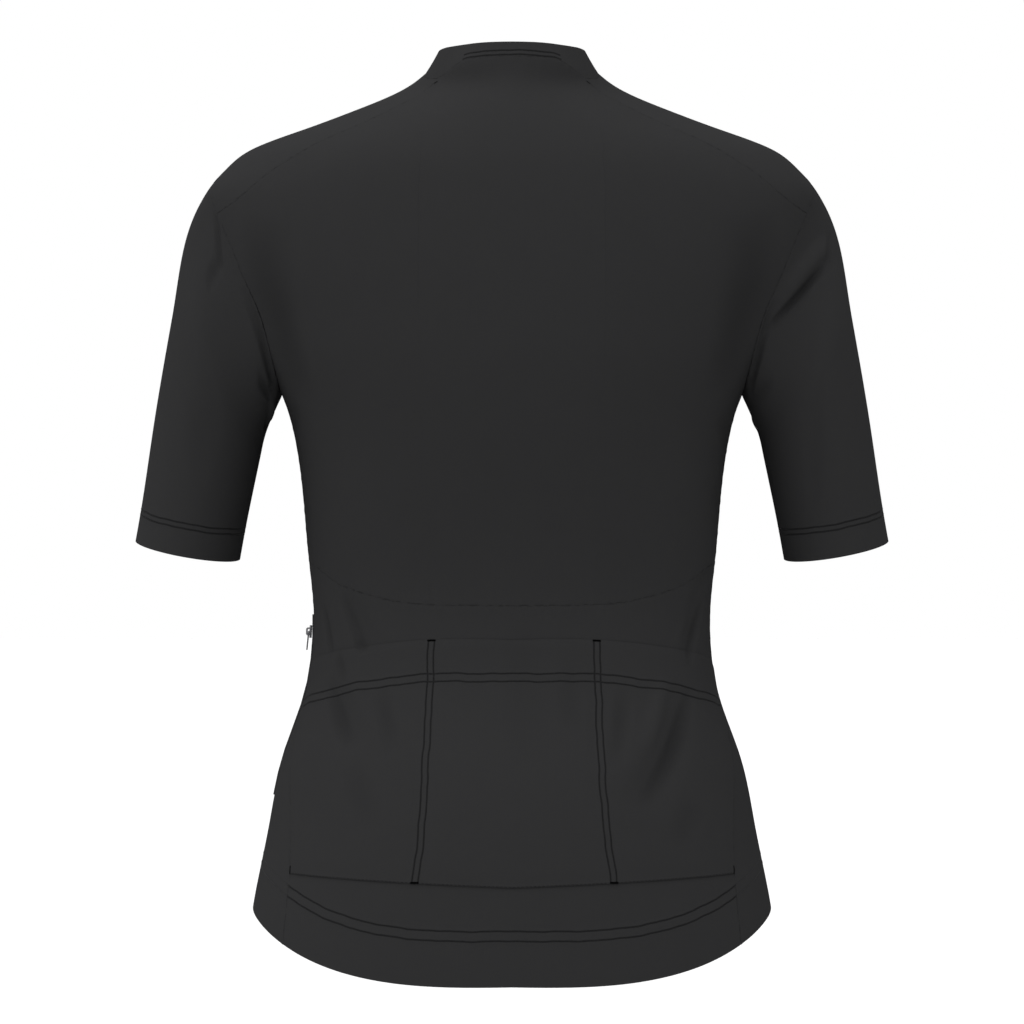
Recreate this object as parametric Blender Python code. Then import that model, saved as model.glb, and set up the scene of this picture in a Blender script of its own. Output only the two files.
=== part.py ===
"""A women's short-sleeved cycling jersey in its worn form, with no wearer inside.

Metres, +Z up. The front faces -Y, so +X is the wearer's left. The origin lies on the centre plane,
level with the ends of the shoulder seams at the neck, where the shoulders carry the garment.

The cloth is one smooth form cut into panels along seam lines. Places on the form are given by a
turn, which is 0 at centre back, 90 degrees at the wearer's left side and 180 degrees at centre
front, and by a level, which is the height.
"""

import math
from collections import namedtuple

import bmesh
import bpy
import numpy as np
from mathutils import Matrix

# ------------------------------------------------------------------ driving dimensions
CLOTH = 0.0015  # wall of the knitted panels
COLLAR_CLOTH = 0.0020  # wall of the doubled collar
SEAM_GAP = 0.0003  # clear space between two pieces
SHARP = math.radians(40.0)

# One row for each section of the torso, from the neck down. Back and front are its depths behind
# and before the centre plane of the shoulders; roundness is the power of the section's outline.
Section = namedtuple("Section", "level half_width back front roundness")
TORSO = (
    Section(0.020, 0.0460, 0.0600, 0.0220, 2.40),
    Section(0.005, 0.0588, 0.0625, 0.0290, 2.25),
    Section(-0.007, 0.0757, 0.0655, 0.0355, 1.75),
    Section(-0.021, 0.1075, 0.0745, 0.0430, 1.82),
    Section(-0.035, 0.1445, 0.0835, 0.0500, 1.95),
    Section(-0.049, 0.1810, 0.0905, 0.0575, 2.05),
    Section(-0.062, 0.1980, 0.0955, 0.0655, 2.15),
    Section(-0.077, 0.2105, 0.0990, 0.0750, 2.20),
    Section(-0.092, 0.2125, 0.1015, 0.0840, 2.25),
    Section(-0.115, 0.2080, 0.1040, 0.0970, 2.30),
    Section(-0.140, 0.2000, 0.1055, 0.1085, 2.30),
    Section(-0.165, 0.1870, 0.1055, 0.1185, 2.30),
    Section(-0.190, 0.1745, 0.1045, 0.1275, 2.30),
    Section(-0.222, 0.1585, 0.1000, 0.1350, 2.30),
    Section(-0.250, 0.1505, 0.0945, 0.1365, 2.25),
    Section(-0.290, 0.1450, 0.0850, 0.1310, 2.25),
    Section(-0.330, 0.1415, 0.0765, 0.1205, 2.20),
    Section(-0.365, 0.1380, 0.0725, 0.1110, 2.20),
    Section(-0.400, 0.1387, 0.0750, 0.1075, 2.20),
    Section(-0.430, 0.1445, 0.0840, 0.1080, 2.20),
    Section(-0.470, 0.1586, 0.1000, 0.1110, 2.20),
    Section(-0.520, 0.1692, 0.1125, 0.1135, 2.20),
    Section(-0.575, 0.1800, 0.1185, 0.1130, 2.20),
    Section(-0.640, 0.1860, 0.1210, 0.1120, 2.20),
)

# Seam lines on the back, as distances out from the centre plane and levels.
Place = namedtuple("Place", "out level")
NECK_BACK = (
    Place(0.0000, 0.0105),
    Place(0.0200, 0.0100),
    Place(0.0350, 0.0075),
    Place(0.0450, 0.0010),
    Place(0.0515, -0.0030),
)
SHOULDER_SEAM = (
    Place(0.0515, -0.0030),
    Place(0.0600, -0.0120),
    Place(0.0815, -0.0247),
    Place(0.1130, -0.0400),
    Place(0.1430, -0.0550),
    Place(0.1633, -0.0678),
    Place(0.1792, -0.0801),
    Place(0.1900, -0.0885),
)
WAIST_SEAM = (
    Place(0.0000, -0.3640),
    Place(0.0490, -0.3635),
    Place(0.0740, -0.3620),
    Place(0.0940, -0.3580),
    Place(0.1080, -0.3540),
    Place(0.1200, -0.3490),
    Place(0.1310, -0.3410),
)
POCKET_TOP = (
    Place(0.0000, -0.3870),
    Place(0.0570, -0.3870),
    Place(0.0880, -0.3900),
    Place(0.1150, -0.3945),
    Place(0.1300, -0.3985),
)
POCKET_FOOT = (
    Place(0.0000, -0.5515),
    Place(0.0680, -0.5490),
    Place(0.1080, -0.5475),
)

# The neck seam on the front, from the top of the shoulder to the zip.
NECK_FRONT = (
    Place(0.0602, -0.0014),
    Place(0.0577, -0.0110),
    Place(0.0500, -0.0250),
    Place(0.0420, -0.0370),
    Place(0.0310, -0.0490),
    Place(0.0180, -0.0580),
)
NECK_RIDGE = (
    Place(0.0568, -0.0025),
    Place(0.0600, 0.0004),
)  # its stretch behind the top of the shoulder
NECK_RIDGE_LEVEL = 0.0034  # where it crosses the top of the shoulder
NECK_ZIP_LEVEL = -0.0620  # the neck seam at the zip

# The armhole, as an oval seen from the side.
ARMHOLE_LEVEL = -0.1455
ARMHOLE_HALF_HEIGHT = 0.0735
ARMHOLE_BACK = 0.0500
ARMHOLE_FRONT = 0.0500
SHOULDER_SEAM_CLOCK = 47.0  # degrees round the armhole from its top to the shoulder seam

# The side seam and the hem, as turns in degrees and levels.
Turned = namedtuple("Turned", "turn level")
SIDE_SEAM = (
    Turned(90.0, -0.2190),
    Turned(89.5, -0.2800),
    Turned(89.0, -0.3340),
    Turned(87.5, -0.3720),
    Turned(83.5, -0.4050),
    Turned(77.0, -0.4400),
    Turned(65.0, -0.4900),
    Turned(57.5, -0.5460),
    Turned(56.0, -0.5940),
)
SIDE_SEAM_TO_WAIST = -0.3340
SIDE_SEAM_TO_POCKET = -0.4050
SIDE_SEAM_TO_POCKET_FOOT = -0.5460
HEM = (
    Turned(0.0, -0.6175),
    Turned(26.0, -0.6155),
    Turned(42.0, -0.6065),
    Turned(56.0, -0.5940),
    Turned(72.0, -0.5805),
    Turned(90.0, -0.5725),
    Turned(125.0, -0.5640),
    Turned(155.0, -0.5550),
    Turned(180.0, -0.5520),
)

# The largest soft folds, each a straight run between two turns in degrees and levels. It is deepest
# halfway along and fades out at its ends and sides; a ridge has a negative depth.
Fold = namedtuple("Fold", "turn_from level_from turn_to level_to half_width depth")
FOLDS = (
    Fold(-54.0, -0.418, -29.0, -0.505, 0.017, 0.0032),
    Fold(-40.0, -0.425, -22.0, -0.486, 0.018, -0.0014),
    Fold(-4.0, -0.375, -5.0, -0.478, 0.017, 0.0013),
    Fold(59.0, -0.412, 40.0, -0.462, 0.016, 0.0024),
    Fold(55.0, -0.352, 40.0, -0.402, 0.014, 0.0016),
    Fold(-66.0, -0.352, -54.0, -0.404, 0.015, 0.0020),
    Fold(104.0, -0.338, 142.0, -0.372, 0.016, 0.0022),
    Fold(-106.0, -0.350, -138.0, -0.362, 0.018, 0.0017),
    Fold(148.0, -0.405, 122.0, -0.470, 0.018, 0.0021),
    Fold(-156.0, -0.398, -131.0, -0.452, 0.016, 0.0026),
    Fold(112.0, -0.228, 141.0, -0.254, 0.017, 0.0018),
    Fold(-110.0, -0.232, -146.0, -0.246, 0.016, 0.0023),
)
FOLD_RADIUS = 0.125  # of the form, for distances measured round it

# The sleeve: its axis runs down, out and a little forward to the middle of the cuff.
CUFF_MIDDLE = (0.2265, -0.0170, -0.3267)
SLEEVE_OUT = math.radians(10.5)
SLEEVE_FORWARD = math.radians(5.7)
SleeveRing = namedtuple("SleeveRing", "up half_width half_depth")
SLEEVE_RINGS = (
    SleeveRing(0.000, 0.0370, 0.0460),
    SleeveRing(0.020, 0.0370, 0.0460),
    SleeveRing(0.080, 0.0385, 0.0470),
    SleeveRing(0.160, 0.0390, 0.0480),
)
CAP_FOOT_OUTSIDE = 0.158  # how far above the cuff the cap's rounding ends, outside and inside
CAP_FOOT_INSIDE = 0.078
CAP_PULL = 0.38  # handle of the cap's curve, as a share of its span
CAP_FOLD_FROM = 45.0  # degrees round the armhole where the sleeve starts to fold down
CAP_FOLD_TO = 150.0
CAP_FOLD_SPREAD = 0.24  # how far the folded part leans out, for each part that it runs down

# The collar stands on the neck seam. One row for each turn in degrees, with the level of its top
# edge and how far that edge leans in over the seam.
CollarEdge = namedtuple("CollarEdge", "turn level lean")
COLLAR_TOP = (
    CollarEdge(0.0, 0.0205, 0.0035),
    CollarEdge(25.0, 0.0201, 0.0038),
    CollarEdge(50.0, 0.0189, 0.0086),
    CollarEdge(65.0, 0.0177, 0.0099),
    CollarEdge(90.0, 0.0163, 0.0090),
    CollarEdge(120.0, 0.0138, 0.0082),
    CollarEdge(141.0, 0.0070, 0.0068),
    CollarEdge(155.0, -0.0050, 0.0050),
    CollarEdge(168.0, -0.0230, 0.0040),
    CollarEdge(180.0, -0.0390, 0.0030),
)
COLLAR_END_SQUARENESS = 8  # keeps the collar's two ends upright along the zip

# The zips.
FRONT_TAPE_WIDTH = 0.0090
FRONT_CHAIN_WIDTH = 0.0044
FRONT_CHAIN_RISE = 0.0007
SIDE_TAPE_WIDTH = 0.0070
SIDE_TAPE_THICKNESS = 0.0009
SIDE_CHAIN_WIDTH = 0.0030
SIDE_CHAIN_RISE = 0.0005
SIDE_ZIP_TURN = 94.0
SIDE_ZIP_TOP = -0.3715
SIDE_ZIP_FOOT = -0.4970
FRONT_SLIDER_BELOW_TOP = 0.0095
SIDE_SLIDER_BELOW_TOP = 0.0120

# The slider and pull of a zip of size 1, along its own axes: X across, Y up it and Z off the cloth.
# The front zip's are larger by its scale.
FRONT_ZIP_SCALE = 1.35
SIDE_ZIP_SCALE = 1.0
SLIDER_HALF_TOP = 0.0031
SLIDER_HALF_FOOT = 0.0023
SLIDER_HALF_LENGTH = 0.0044
SLIDER_THICKNESS = 0.0013
BRIDGE_HALF_WIDTH = 0.0008
BRIDGE_HALF_LENGTH = 0.0028
BRIDGE_HEIGHT = 0.0026
BRIDGE_BAR = 0.0011
BRIDGE_ROOT = 0.0004  # how far its feet are sunk into the slider
PULL_THICKNESS = 0.0008
PULL_HALF_WIDTH = 0.0020
PULL_EYE_HALF_WIDTH = 0.0012
PULL_EYE_LENGTH = 0.0032
PULL_LENGTH = 0.0135
PULL_END_HALF_WIDTH = 0.0016
PULL_AXIS_HEIGHT = 0.00075  # the hinge axis above the slider's face
FRONT_PULL_TILT = math.radians(20.0)  # out from the collar, to lie along the chest below it
SIDE_PULL_TILT = math.radians(4.0)

# Cells of the panels' grids along each seam.
CELLS_NECK_BACK = 10
CELLS_NECK_FRONT = 10
CELLS_SHOULDER = 11
CELLS_ARMHOLE_BACK = 10
CELLS_ARMHOLE_FRONT = 12
CELLS_SIDE_UPPER = 6
CELLS_SIDE_WAIST = 3
CELLS_SIDE_POCKET = 7
CELLS_SIDE_FOOT = 3
CELLS_CAP = 7
CELLS_SLEEVE = 4
CELLS_COLLAR = 2
CELLS_SIDE_ZIP = 8
DENSE = 240  # points that a seam's length is measured on
RELAX_ROUNDS = 500  # rounds that spread a panel's grid evenly
RELAX_SHARE = 0.7
STEP_TURN = 0.002  # steps that slopes of the form are measured over
STEP_LEVEL = 0.0005

# Finishes.
Finish = namedtuple("Finish", "colour roughness metallic")
KNIT = Finish((0.026, 0.026, 0.027), 0.85, 0.0)
KNIT_DEEP = Finish((0.020, 0.020, 0.021), 0.85, 0.0)
TAPE = Finish((0.012, 0.012, 0.013), 0.70, 0.0)
METAL = Finish((0.300, 0.300, 0.310), 0.35, 1.0)


# ------------------------------------------------------------------ curves and the form
class Curve:
    """A smooth curve through a few knots: a natural cubic spline of one or more columns."""

    def __init__(self, knots, values):
        self.knots = np.asarray(knots, float)
        self.values = np.asarray(values, float)
        steps = np.diff(self.knots)
        count = len(self.knots)
        system = np.eye(count)
        pull = np.zeros_like(self.values)
        for i in range(1, count - 1):
            system[i, i - 1] = steps[i - 1]
            system[i, i] = 2.0 * (steps[i - 1] + steps[i])
            system[i, i + 1] = steps[i]
            after = (self.values[i + 1] - self.values[i]) / steps[i]
            before = (self.values[i] - self.values[i - 1]) / steps[i - 1]
            pull[i] = 6.0 * (after - before)
        self.bend = np.linalg.solve(system, pull)

    def at(self, where):
        """Values at the given places, held at the first and last knot outside them."""
        where = np.clip(np.asarray(where, float), self.knots[0], self.knots[-1])
        cell = np.clip(np.searchsorted(self.knots, where) - 1, 0, len(self.knots) - 2)
        step = (self.knots[cell + 1] - self.knots[cell])[..., None]
        part = ((where - self.knots[cell])[..., None]) / step
        values = self.values.reshape(len(self.knots), -1)
        bend = self.bend.reshape(len(self.knots), -1)
        rest = 1.0 - part
        found = rest * values[cell] + part * values[cell + 1]
        found += ((rest**3 - rest) * bend[cell] + (part**3 - part) * bend[cell + 1]) * step**2 / 6.0
        return found


TORSO_CURVE = Curve([row.level for row in reversed(TORSO)], [row[1:] for row in reversed(TORSO)])
COLLAR_CURVE = Curve([math.radians(row.turn) for row in COLLAR_TOP], [row[1:] for row in COLLAR_TOP])
SLEEVE_CURVE = Curve([row.up for row in SLEEVE_RINGS], [row[1:] for row in SLEEVE_RINGS])


def fold_depth(turn, level):
    """How deep the folds press the cloth in at the given turns and levels."""
    total = np.zeros_like(turn)
    for fold in FOLDS:
        run = np.array(
            [FOLD_RADIUS * math.radians(fold.turn_to - fold.turn_from), fold.level_to - fold.level_from]
        )
        length = np.linalg.norm(run)
        round_about = FOLD_RADIUS * (turn - math.radians(fold.turn_from))
        upward = level - fold.level_from
        along = (round_about * run[0] + upward * run[1]) / length**2
        aside = (round_about * run[1] - upward * run[0]) / length / fold.half_width
        fade = np.clip(1.0 - (2.0 * along - 1.0) ** 2, 0.0, 1.0)
        total += fold.depth * fade * np.clip(1.0 - aside**2, 0.0, 1.0) ** 2
    return total


def body_point(turn, level):
    """Points on the outside of the cloth; turn in radians."""
    turn = np.asarray(turn, float)
    level = np.asarray(level, float)
    half_width, back, front, power = np.moveaxis(TORSO_CURVE.at(level), -1, 0)
    side = np.sin(turn)
    behind = np.cos(turn)
    depth = np.where(behind >= 0.0, back, front)
    reach = (np.abs(side) ** power + np.abs(behind) ** power) ** (-1.0 / power)
    out, away = half_width * reach * side, depth * reach * behind
    shrink = 1.0 - fold_depth(turn, level) / np.hypot(out, away)
    return np.stack([out * shrink, away * shrink, level], -1)


def unit(vectors):
    """Vectors brought to length 1."""
    return vectors / np.linalg.norm(vectors, axis=-1, keepdims=True)


def body_normal(turn, level):
    """Outward normals of the form."""
    round_about = body_point(turn + STEP_TURN, level) - body_point(turn - STEP_TURN, level)
    upward = body_point(turn, level + STEP_LEVEL) - body_point(turn, level - STEP_LEVEL)
    return unit(np.cross(upward, round_about))


def turn_of(out, level, facing):
    """The turn of a point at a distance out from the centre plane; facing is 1 behind, -1 before."""
    half_width, _, _, power = np.moveaxis(TORSO_CURVE.at(level), -1, 0)
    share = np.clip(out / half_width, 0.0, 1.0)
    return np.arctan2(share, facing * (1.0 - share**power) ** (1.0 / power))


def placed(rows, facing):
    """Places given by their distance out, as an array of turns and levels."""
    return np.array([[float(turn_of(row.out, row.level, facing)), row.level] for row in rows])


def turned(rows):
    """Places given by their turn in degrees, as an array of turns and levels."""
    return np.array([[math.radians(row.turn), row.level] for row in rows])


def dense_line(places):
    """A smooth line through a few turns and levels, as many closely spaced ones."""
    spots = body_point(places[:, 0], places[:, 1])
    along = np.concatenate([[0.0], np.cumsum(np.linalg.norm(np.diff(spots, axis=0), axis=1))])
    return Curve(along, places).at(np.linspace(0.0, along[-1], DENSE))


def even(line, cells):
    """A dense line divided into cells of equal length on the cloth."""
    spots = body_point(line[:, 0], line[:, 1])
    along = np.concatenate([[0.0], np.cumsum(np.linalg.norm(np.diff(spots, axis=0), axis=1))])
    marks = np.linspace(0.0, along[-1], cells + 1)
    turns = np.interp(marks, along, line[:, 0])
    levels = np.interp(marks, along, line[:, 1])
    return np.stack([turns, levels], -1)


def joined(*lines):
    """Seams end to end, each starting where the one before it stops."""
    return np.concatenate([lines[0]] + [line[1:] for line in lines[1:]])


def mirrored(line):
    """The same seam on the wearer's other side."""
    return line * np.array([-1.0, 1.0])


def armhole_places(clock):
    """Turns and levels on the armhole; clock in radians from its top, growing towards the back."""
    clock = np.asarray(clock, float)
    level = ARMHOLE_LEVEL + ARMHOLE_HALF_HEIGHT * np.cos(clock)
    reach = np.where(np.sin(clock) >= 0.0, ARMHOLE_BACK, ARMHOLE_FRONT) * np.sin(clock)
    _, back, front, power = np.moveaxis(TORSO_CURVE.at(level), -1, 0)
    share = np.abs(reach) / np.where(reach >= 0.0, back, front)
    side = (1.0 - share**power) ** (1.0 / power)
    return np.stack([np.arctan2(side, np.sign(reach) * share), level], -1)


# ------------------------------------------------------------------ seam lines, cut into cells
Seams = namedtuple(
    "Seams",
    "neck_back neck_front shoulder armhole_back armhole_front clock_back clock_front"
    " side_upper side_waist side_pocket side_foot waist pocket_top pocket_foot hem_back hem_front centre",
)


def even_clocks(start, stop, cells):
    """Clock angles that divide a stretch of the armhole into equal lengths."""
    clocks = np.linspace(math.radians(start), math.radians(stop), DENSE)
    places = armhole_places(clocks)
    spots = body_point(places[:, 0], places[:, 1])
    along = np.concatenate([[0.0], np.cumsum(np.linalg.norm(np.diff(spots, axis=0), axis=1))])
    return np.interp(np.linspace(0.0, along[-1], cells + 1), along, clocks)


def between_levels(line, top, foot):
    """The stretch of a falling line between two levels."""
    levels = np.linspace(top, foot, DENSE)
    turns = np.interp(-levels, -line[:, 1], line[:, 0])
    return np.stack([turns, levels], -1)


def between_turns(line, start, stop):
    """The stretch of a line between two turns, which grow along it."""
    turns = np.linspace(start, stop, DENSE)
    levels = np.interp(turns, line[:, 0], line[:, 1])
    return np.stack([turns, levels], -1)


def across_back(rows, end, cells):
    """A seam across the back, from the wearer's right side seam to the left one, in equal cells."""
    half = dense_line(np.concatenate([placed(rows, 1), [end]]))
    whole = joined(mirrored(half)[::-1], half)
    return even(whole, cells)


def cut_seams():
    """Every seam of the wearer's left side, and those that cross the back."""
    clock_back = even_clocks(SHOULDER_SEAM_CLOCK, 180.0, CELLS_ARMHOLE_BACK)
    clock_front = even_clocks(SHOULDER_SEAM_CLOCK, -180.0, CELLS_ARMHOLE_FRONT)
    armhole_back = armhole_places(clock_back)
    armhole_front = armhole_places(clock_front)
    armhole_back[-1] = (math.pi / 2.0, ARMHOLE_LEVEL - ARMHOLE_HALF_HEIGHT)
    armhole_front[-1] = armhole_back[-1]
    shoulder_end = armhole_back[0]

    neck_back_half = dense_line(placed(NECK_BACK, 1))
    neck_back = even(joined(mirrored(neck_back_half)[::-1], neck_back_half), CELLS_NECK_BACK)
    shoulder = even(dense_line(np.concatenate([placed(SHOULDER_SEAM, 1), [shoulder_end]])), CELLS_SHOULDER)
    zip_turn = float(turn_of(FRONT_TAPE_WIDTH / 2.0, NECK_ZIP_LEVEL, -1))
    neck_front_places = np.concatenate(
        [
            placed(NECK_BACK[-1:] + NECK_RIDGE, 1),
            [[math.pi / 2.0, NECK_RIDGE_LEVEL]],
            placed(NECK_FRONT, -1),
            [[zip_turn, NECK_ZIP_LEVEL]],
        ]
    )
    neck_front = even(dense_line(neck_front_places), CELLS_NECK_FRONT)

    side = dense_line(turned(SIDE_SEAM))
    side_upper = even(between_levels(side, SIDE_SEAM[0].level, SIDE_SEAM_TO_WAIST), CELLS_SIDE_UPPER)
    side_waist = even(between_levels(side, SIDE_SEAM_TO_WAIST, SIDE_SEAM_TO_POCKET), CELLS_SIDE_WAIST)
    side_pocket = even(
        between_levels(side, SIDE_SEAM_TO_POCKET, SIDE_SEAM_TO_POCKET_FOOT), CELLS_SIDE_POCKET
    )
    side_foot = even(
        between_levels(side, SIDE_SEAM_TO_POCKET_FOOT, SIDE_SEAM[-1].level), CELLS_SIDE_FOOT
    )
    side_upper[0] = armhole_back[-1]

    cells_across = CELLS_NECK_BACK + 2 * CELLS_SHOULDER
    waist = across_back(WAIST_SEAM, side_waist[0], cells_across)
    pocket_top = across_back(POCKET_TOP, side_pocket[0], cells_across)
    pocket_foot = across_back(POCKET_FOOT, side_foot[0], cells_across)

    hem = dense_line(turned(HEM))
    hem_side = side_foot[-1, 0]
    hem_half = between_turns(hem, 0.0, hem_side)
    hem_back = even(joined(mirrored(hem_half)[::-1], hem_half), cells_across)
    hem_back[-1] = side_foot[-1]
    hem_back[0] = mirrored(side_foot[-1])
    hem_zip = float(turn_of(FRONT_TAPE_WIDTH / 2.0, HEM[-1].level, -1))
    hem_front = even(between_turns(hem, hem_side, hem_zip), CELLS_SHOULDER)
    hem_front[0] = side_foot[-1]

    cells_down = (
        CELLS_ARMHOLE_FRONT + CELLS_SIDE_UPPER + CELLS_SIDE_WAIST + CELLS_SIDE_POCKET + CELLS_SIDE_FOOT
    )
    levels = np.linspace(NECK_ZIP_LEVEL, hem_front[-1, 1], cells_down - CELLS_NECK_FRONT + 1)
    centre = np.stack([turn_of(FRONT_TAPE_WIDTH / 2.0, levels, -1), levels], -1)
    centre[0] = neck_front[-1]
    centre[-1] = hem_front[-1]
    return Seams(
        neck_back,
        neck_front,
        shoulder,
        armhole_back,
        armhole_front,
        clock_back,
        clock_front,
        side_upper,
        side_waist,
        side_pocket,
        side_foot,
        waist,
        pocket_top,
        pocket_foot,
        hem_back,
        hem_front,
        centre,
    )


def patch(top, foot, first, last):
    """A grid of turns and levels between four seams.

    top and foot run the same way; first joins their starts and last joins their ends, from top
    to foot.
    """
    columns = len(top)
    rows = len(first)
    across = np.linspace(0.0, 1.0, columns)[None, :, None]
    down = np.linspace(0.0, 1.0, rows)[:, None, None]
    between_sides = (1.0 - across) * first[:, None] + across * last[:, None]
    between_ends = (1.0 - down) * top[None] + down * foot[None]
    corners = (1.0 - down) * ((1.0 - across) * top[0] + across * top[-1])
    corners = corners + down * ((1.0 - across) * foot[0] + across * foot[-1])
    return between_sides + between_ends - corners


def relaxed(grid):
    """The grid with its inner points spread evenly over the cloth, and its edges left as they are."""
    grid = grid.copy()
    for _ in range(RELAX_ROUNDS):
        spots = body_point(grid[..., 0], grid[..., 1])
        middle = (spots[:-2, 1:-1] + spots[2:, 1:-1] + spots[1:-1, :-2] + spots[1:-1, 2:]) / 4.0
        push = middle - spots[1:-1, 1:-1]
        turn, level = grid[1:-1, 1:-1, 0], grid[1:-1, 1:-1, 1]
        by_turn = (body_point(turn + STEP_TURN, level) - body_point(turn - STEP_TURN, level)) / (
            2.0 * STEP_TURN
        )
        by_level = (body_point(turn, level + STEP_LEVEL) - body_point(turn, level - STEP_LEVEL)) / (
            2.0 * STEP_LEVEL
        )
        first = np.sum(by_turn * by_turn, -1)
        cross = np.sum(by_turn * by_level, -1)
        last = np.sum(by_level * by_level, -1)
        turn_push = np.sum(by_turn * push, -1)
        level_push = np.sum(by_level * push, -1)
        size = first * last - cross * cross
        grid[1:-1, 1:-1, 0] += RELAX_SHARE * (last * turn_push - cross * level_push) / size
        grid[1:-1, 1:-1, 1] += RELAX_SHARE * (first * level_push - cross * turn_push) / size
    return grid


# ------------------------------------------------------------------ meshes
def material(name, finish):
    """A plain material with the piece's colour, roughness and metallic value."""
    made = bpy.data.materials.new(name)
    made.use_nodes = True
    shader = made.node_tree.nodes["Principled BSDF"]
    shader.inputs["Base Color"].default_value = (*finish.colour, 1.0)
    shader.inputs["Roughness"].default_value = finish.roughness
    shader.inputs["Metallic"].default_value = finish.metallic
    return made


def add_object(name, mesh_tool, finish, origin=(0.0, 0.0, 0.0)):
    """An object of its own for a finished bmesh, with its origin where asked."""
    bmesh.ops.recalc_face_normals(mesh_tool, faces=mesh_tool.faces[:])
    bmesh.ops.translate(mesh_tool, vec=[-value for value in origin], verts=mesh_tool.verts[:])
    mesh = bpy.data.meshes.new(name)
    mesh_tool.to_mesh(mesh)
    mesh_tool.free()
    mesh.shade_smooth()
    mesh.set_sharp_from_angle(angle=SHARP)
    made = bpy.data.objects.new(name, mesh)
    made.location = origin
    made.data.materials.append(material(name + "_finish", finish))
    bpy.context.scene.collection.objects.link(made)
    return made


def pull_back(points, rows, columns):
    """Grid points with the edge rows or columns moved in by half the seam gap.

    rows and columns each say whether the first and the last edge is a seam.
    """
    moved = points.copy()
    half = SEAM_GAP / 2.0
    for is_seam, edge, inner in ((rows[0], 0, 1), (rows[1], -1, -2)):
        if is_seam:
            along = unit(np.gradient(points[edge], axis=0))
            inward = points[inner] - points[edge]
            inward = inward - np.sum(inward * along, -1, keepdims=True) * along
            moved[edge] += half * unit(inward)
    for is_seam, edge, inner in ((columns[0], 0, 1), (columns[1], -1, -2)):
        if is_seam:
            along = unit(np.gradient(points[:, edge], axis=0))
            inward = points[:, inner] - points[:, edge]
            inward = inward - np.sum(inward * along, -1, keepdims=True) * along
            moved[:, edge] += half * unit(inward)
    return moved


def cloth_wall(name, outer, inner, finish, closed=False):
    """A closed wall of cloth between an outer and an inner grid of points."""
    rows, columns = outer.shape[:2]
    sheet = bmesh.new()
    bmesh.ops.create_grid(sheet, x_segments=columns - 1, y_segments=rows - 1, size=1.0)
    drop = sheet.verts.layers.float_vector.new("drop")
    for vertex in sheet.verts:
        column = round((vertex.co.x + 1.0) / 2.0 * (columns - 1))
        row = round((1.0 - vertex.co.y) / 2.0 * (rows - 1))
        vertex[drop] = inner[row, column] - outer[row, column]
        vertex.co = outer[row, column]
    if closed:
        bmesh.ops.remove_doubles(sheet, verts=sheet.verts[:], dist=1e-6)
    grown = bmesh.ops.extrude_face_region(sheet, geom=sheet.faces[:])
    for vertex in grown["geom"]:
        if isinstance(vertex, bmesh.types.BMVert):
            vertex.co += vertex[drop]
    return add_object(name, sheet, finish)


def torso_panel(name, grid, finish, rows, columns, lift=0.0):
    """A panel cut from the form, lifted off it by a distance for a piece that lies on another."""
    normals = body_normal(grid[..., 0], grid[..., 1])
    outer = pull_back(body_point(grid[..., 0], grid[..., 1]), rows, columns)
    outer = outer + lift * normals
    return cloth_wall(name, outer, outer - CLOTH * normals, finish)


def swept(name, rings, finish):
    """A closed solid through rings of points, filled at its two ends."""
    rings = np.asarray(rings)
    count, around = rings.shape[:2]
    skin = bmesh.new()
    bmesh.ops.create_grid(skin, x_segments=around, y_segments=count - 1, size=1.0)
    for vertex in skin.verts:
        column = round((vertex.co.x + 1.0) / 2.0 * around) % around
        row = round((1.0 - vertex.co.y) / 2.0 * (count - 1))
        vertex.co = rings[row, column]
    bmesh.ops.remove_doubles(skin, verts=skin.verts[:], dist=1e-7)
    bmesh.ops.holes_fill(skin, edges=[edge for edge in skin.edges if edge.is_boundary], sides=0)
    return add_object(name, skin, finish)


# ------------------------------------------------------------------ sleeves and collar
def sleeve_frame():
    """Directions of the sleeve: down along it, out from the body and back across it."""
    down = np.array([math.tan(SLEEVE_OUT), -math.tan(SLEEVE_FORWARD), -1.0])
    down = down / np.linalg.norm(down)
    out = np.array([1.0, 0.0, 0.0])
    out = out - out.dot(down) * down
    out = out / np.linalg.norm(out)
    back = np.cross(out, down)
    return down, out, back


def sleeve_tube(clock, up):
    """Points on the straight part of the left sleeve, at heights up along it from the cuff."""
    down, out, back = sleeve_frame()
    half_width, half_depth = np.moveaxis(SLEEVE_CURVE.at(up), -1, 0)
    middle = np.array(CUFF_MIDDLE) - up[..., None] * down
    sideways = (half_width * np.cos(clock))[..., None] * out
    return middle + sideways + (half_depth * np.sin(clock))[..., None] * back


def smooth_step(value, low, high):
    """0 below low, 1 above high, and a smooth rise between."""
    share = np.clip((value - low) / (high - low), 0.0, 1.0)
    return share * share * (3.0 - 2.0 * share)


def sleeve_start(clock):
    """Armhole points, the directions in which the sleeve leaves them, and its normals there."""
    step = 0.002
    places = armhole_places(clock)
    spot = body_point(places[..., 0], places[..., 1])
    ahead = armhole_places(clock + step)
    behind = armhole_places(clock - step)
    along = unit(body_point(ahead[..., 0], ahead[..., 1]) - body_point(behind[..., 0], behind[..., 1]))
    onward = np.cross(along, body_normal(places[..., 0], places[..., 1]))
    down, out, _ = sleeve_frame()
    fold = smooth_step(np.abs(np.degrees(clock)), CAP_FOLD_FROM, CAP_FOLD_TO)[..., None]
    leave = unit((1.0 - fold) * onward + fold * (down + CAP_FOLD_SPREAD * out))
    return spot, leave, unit(np.cross(leave, along))


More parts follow.
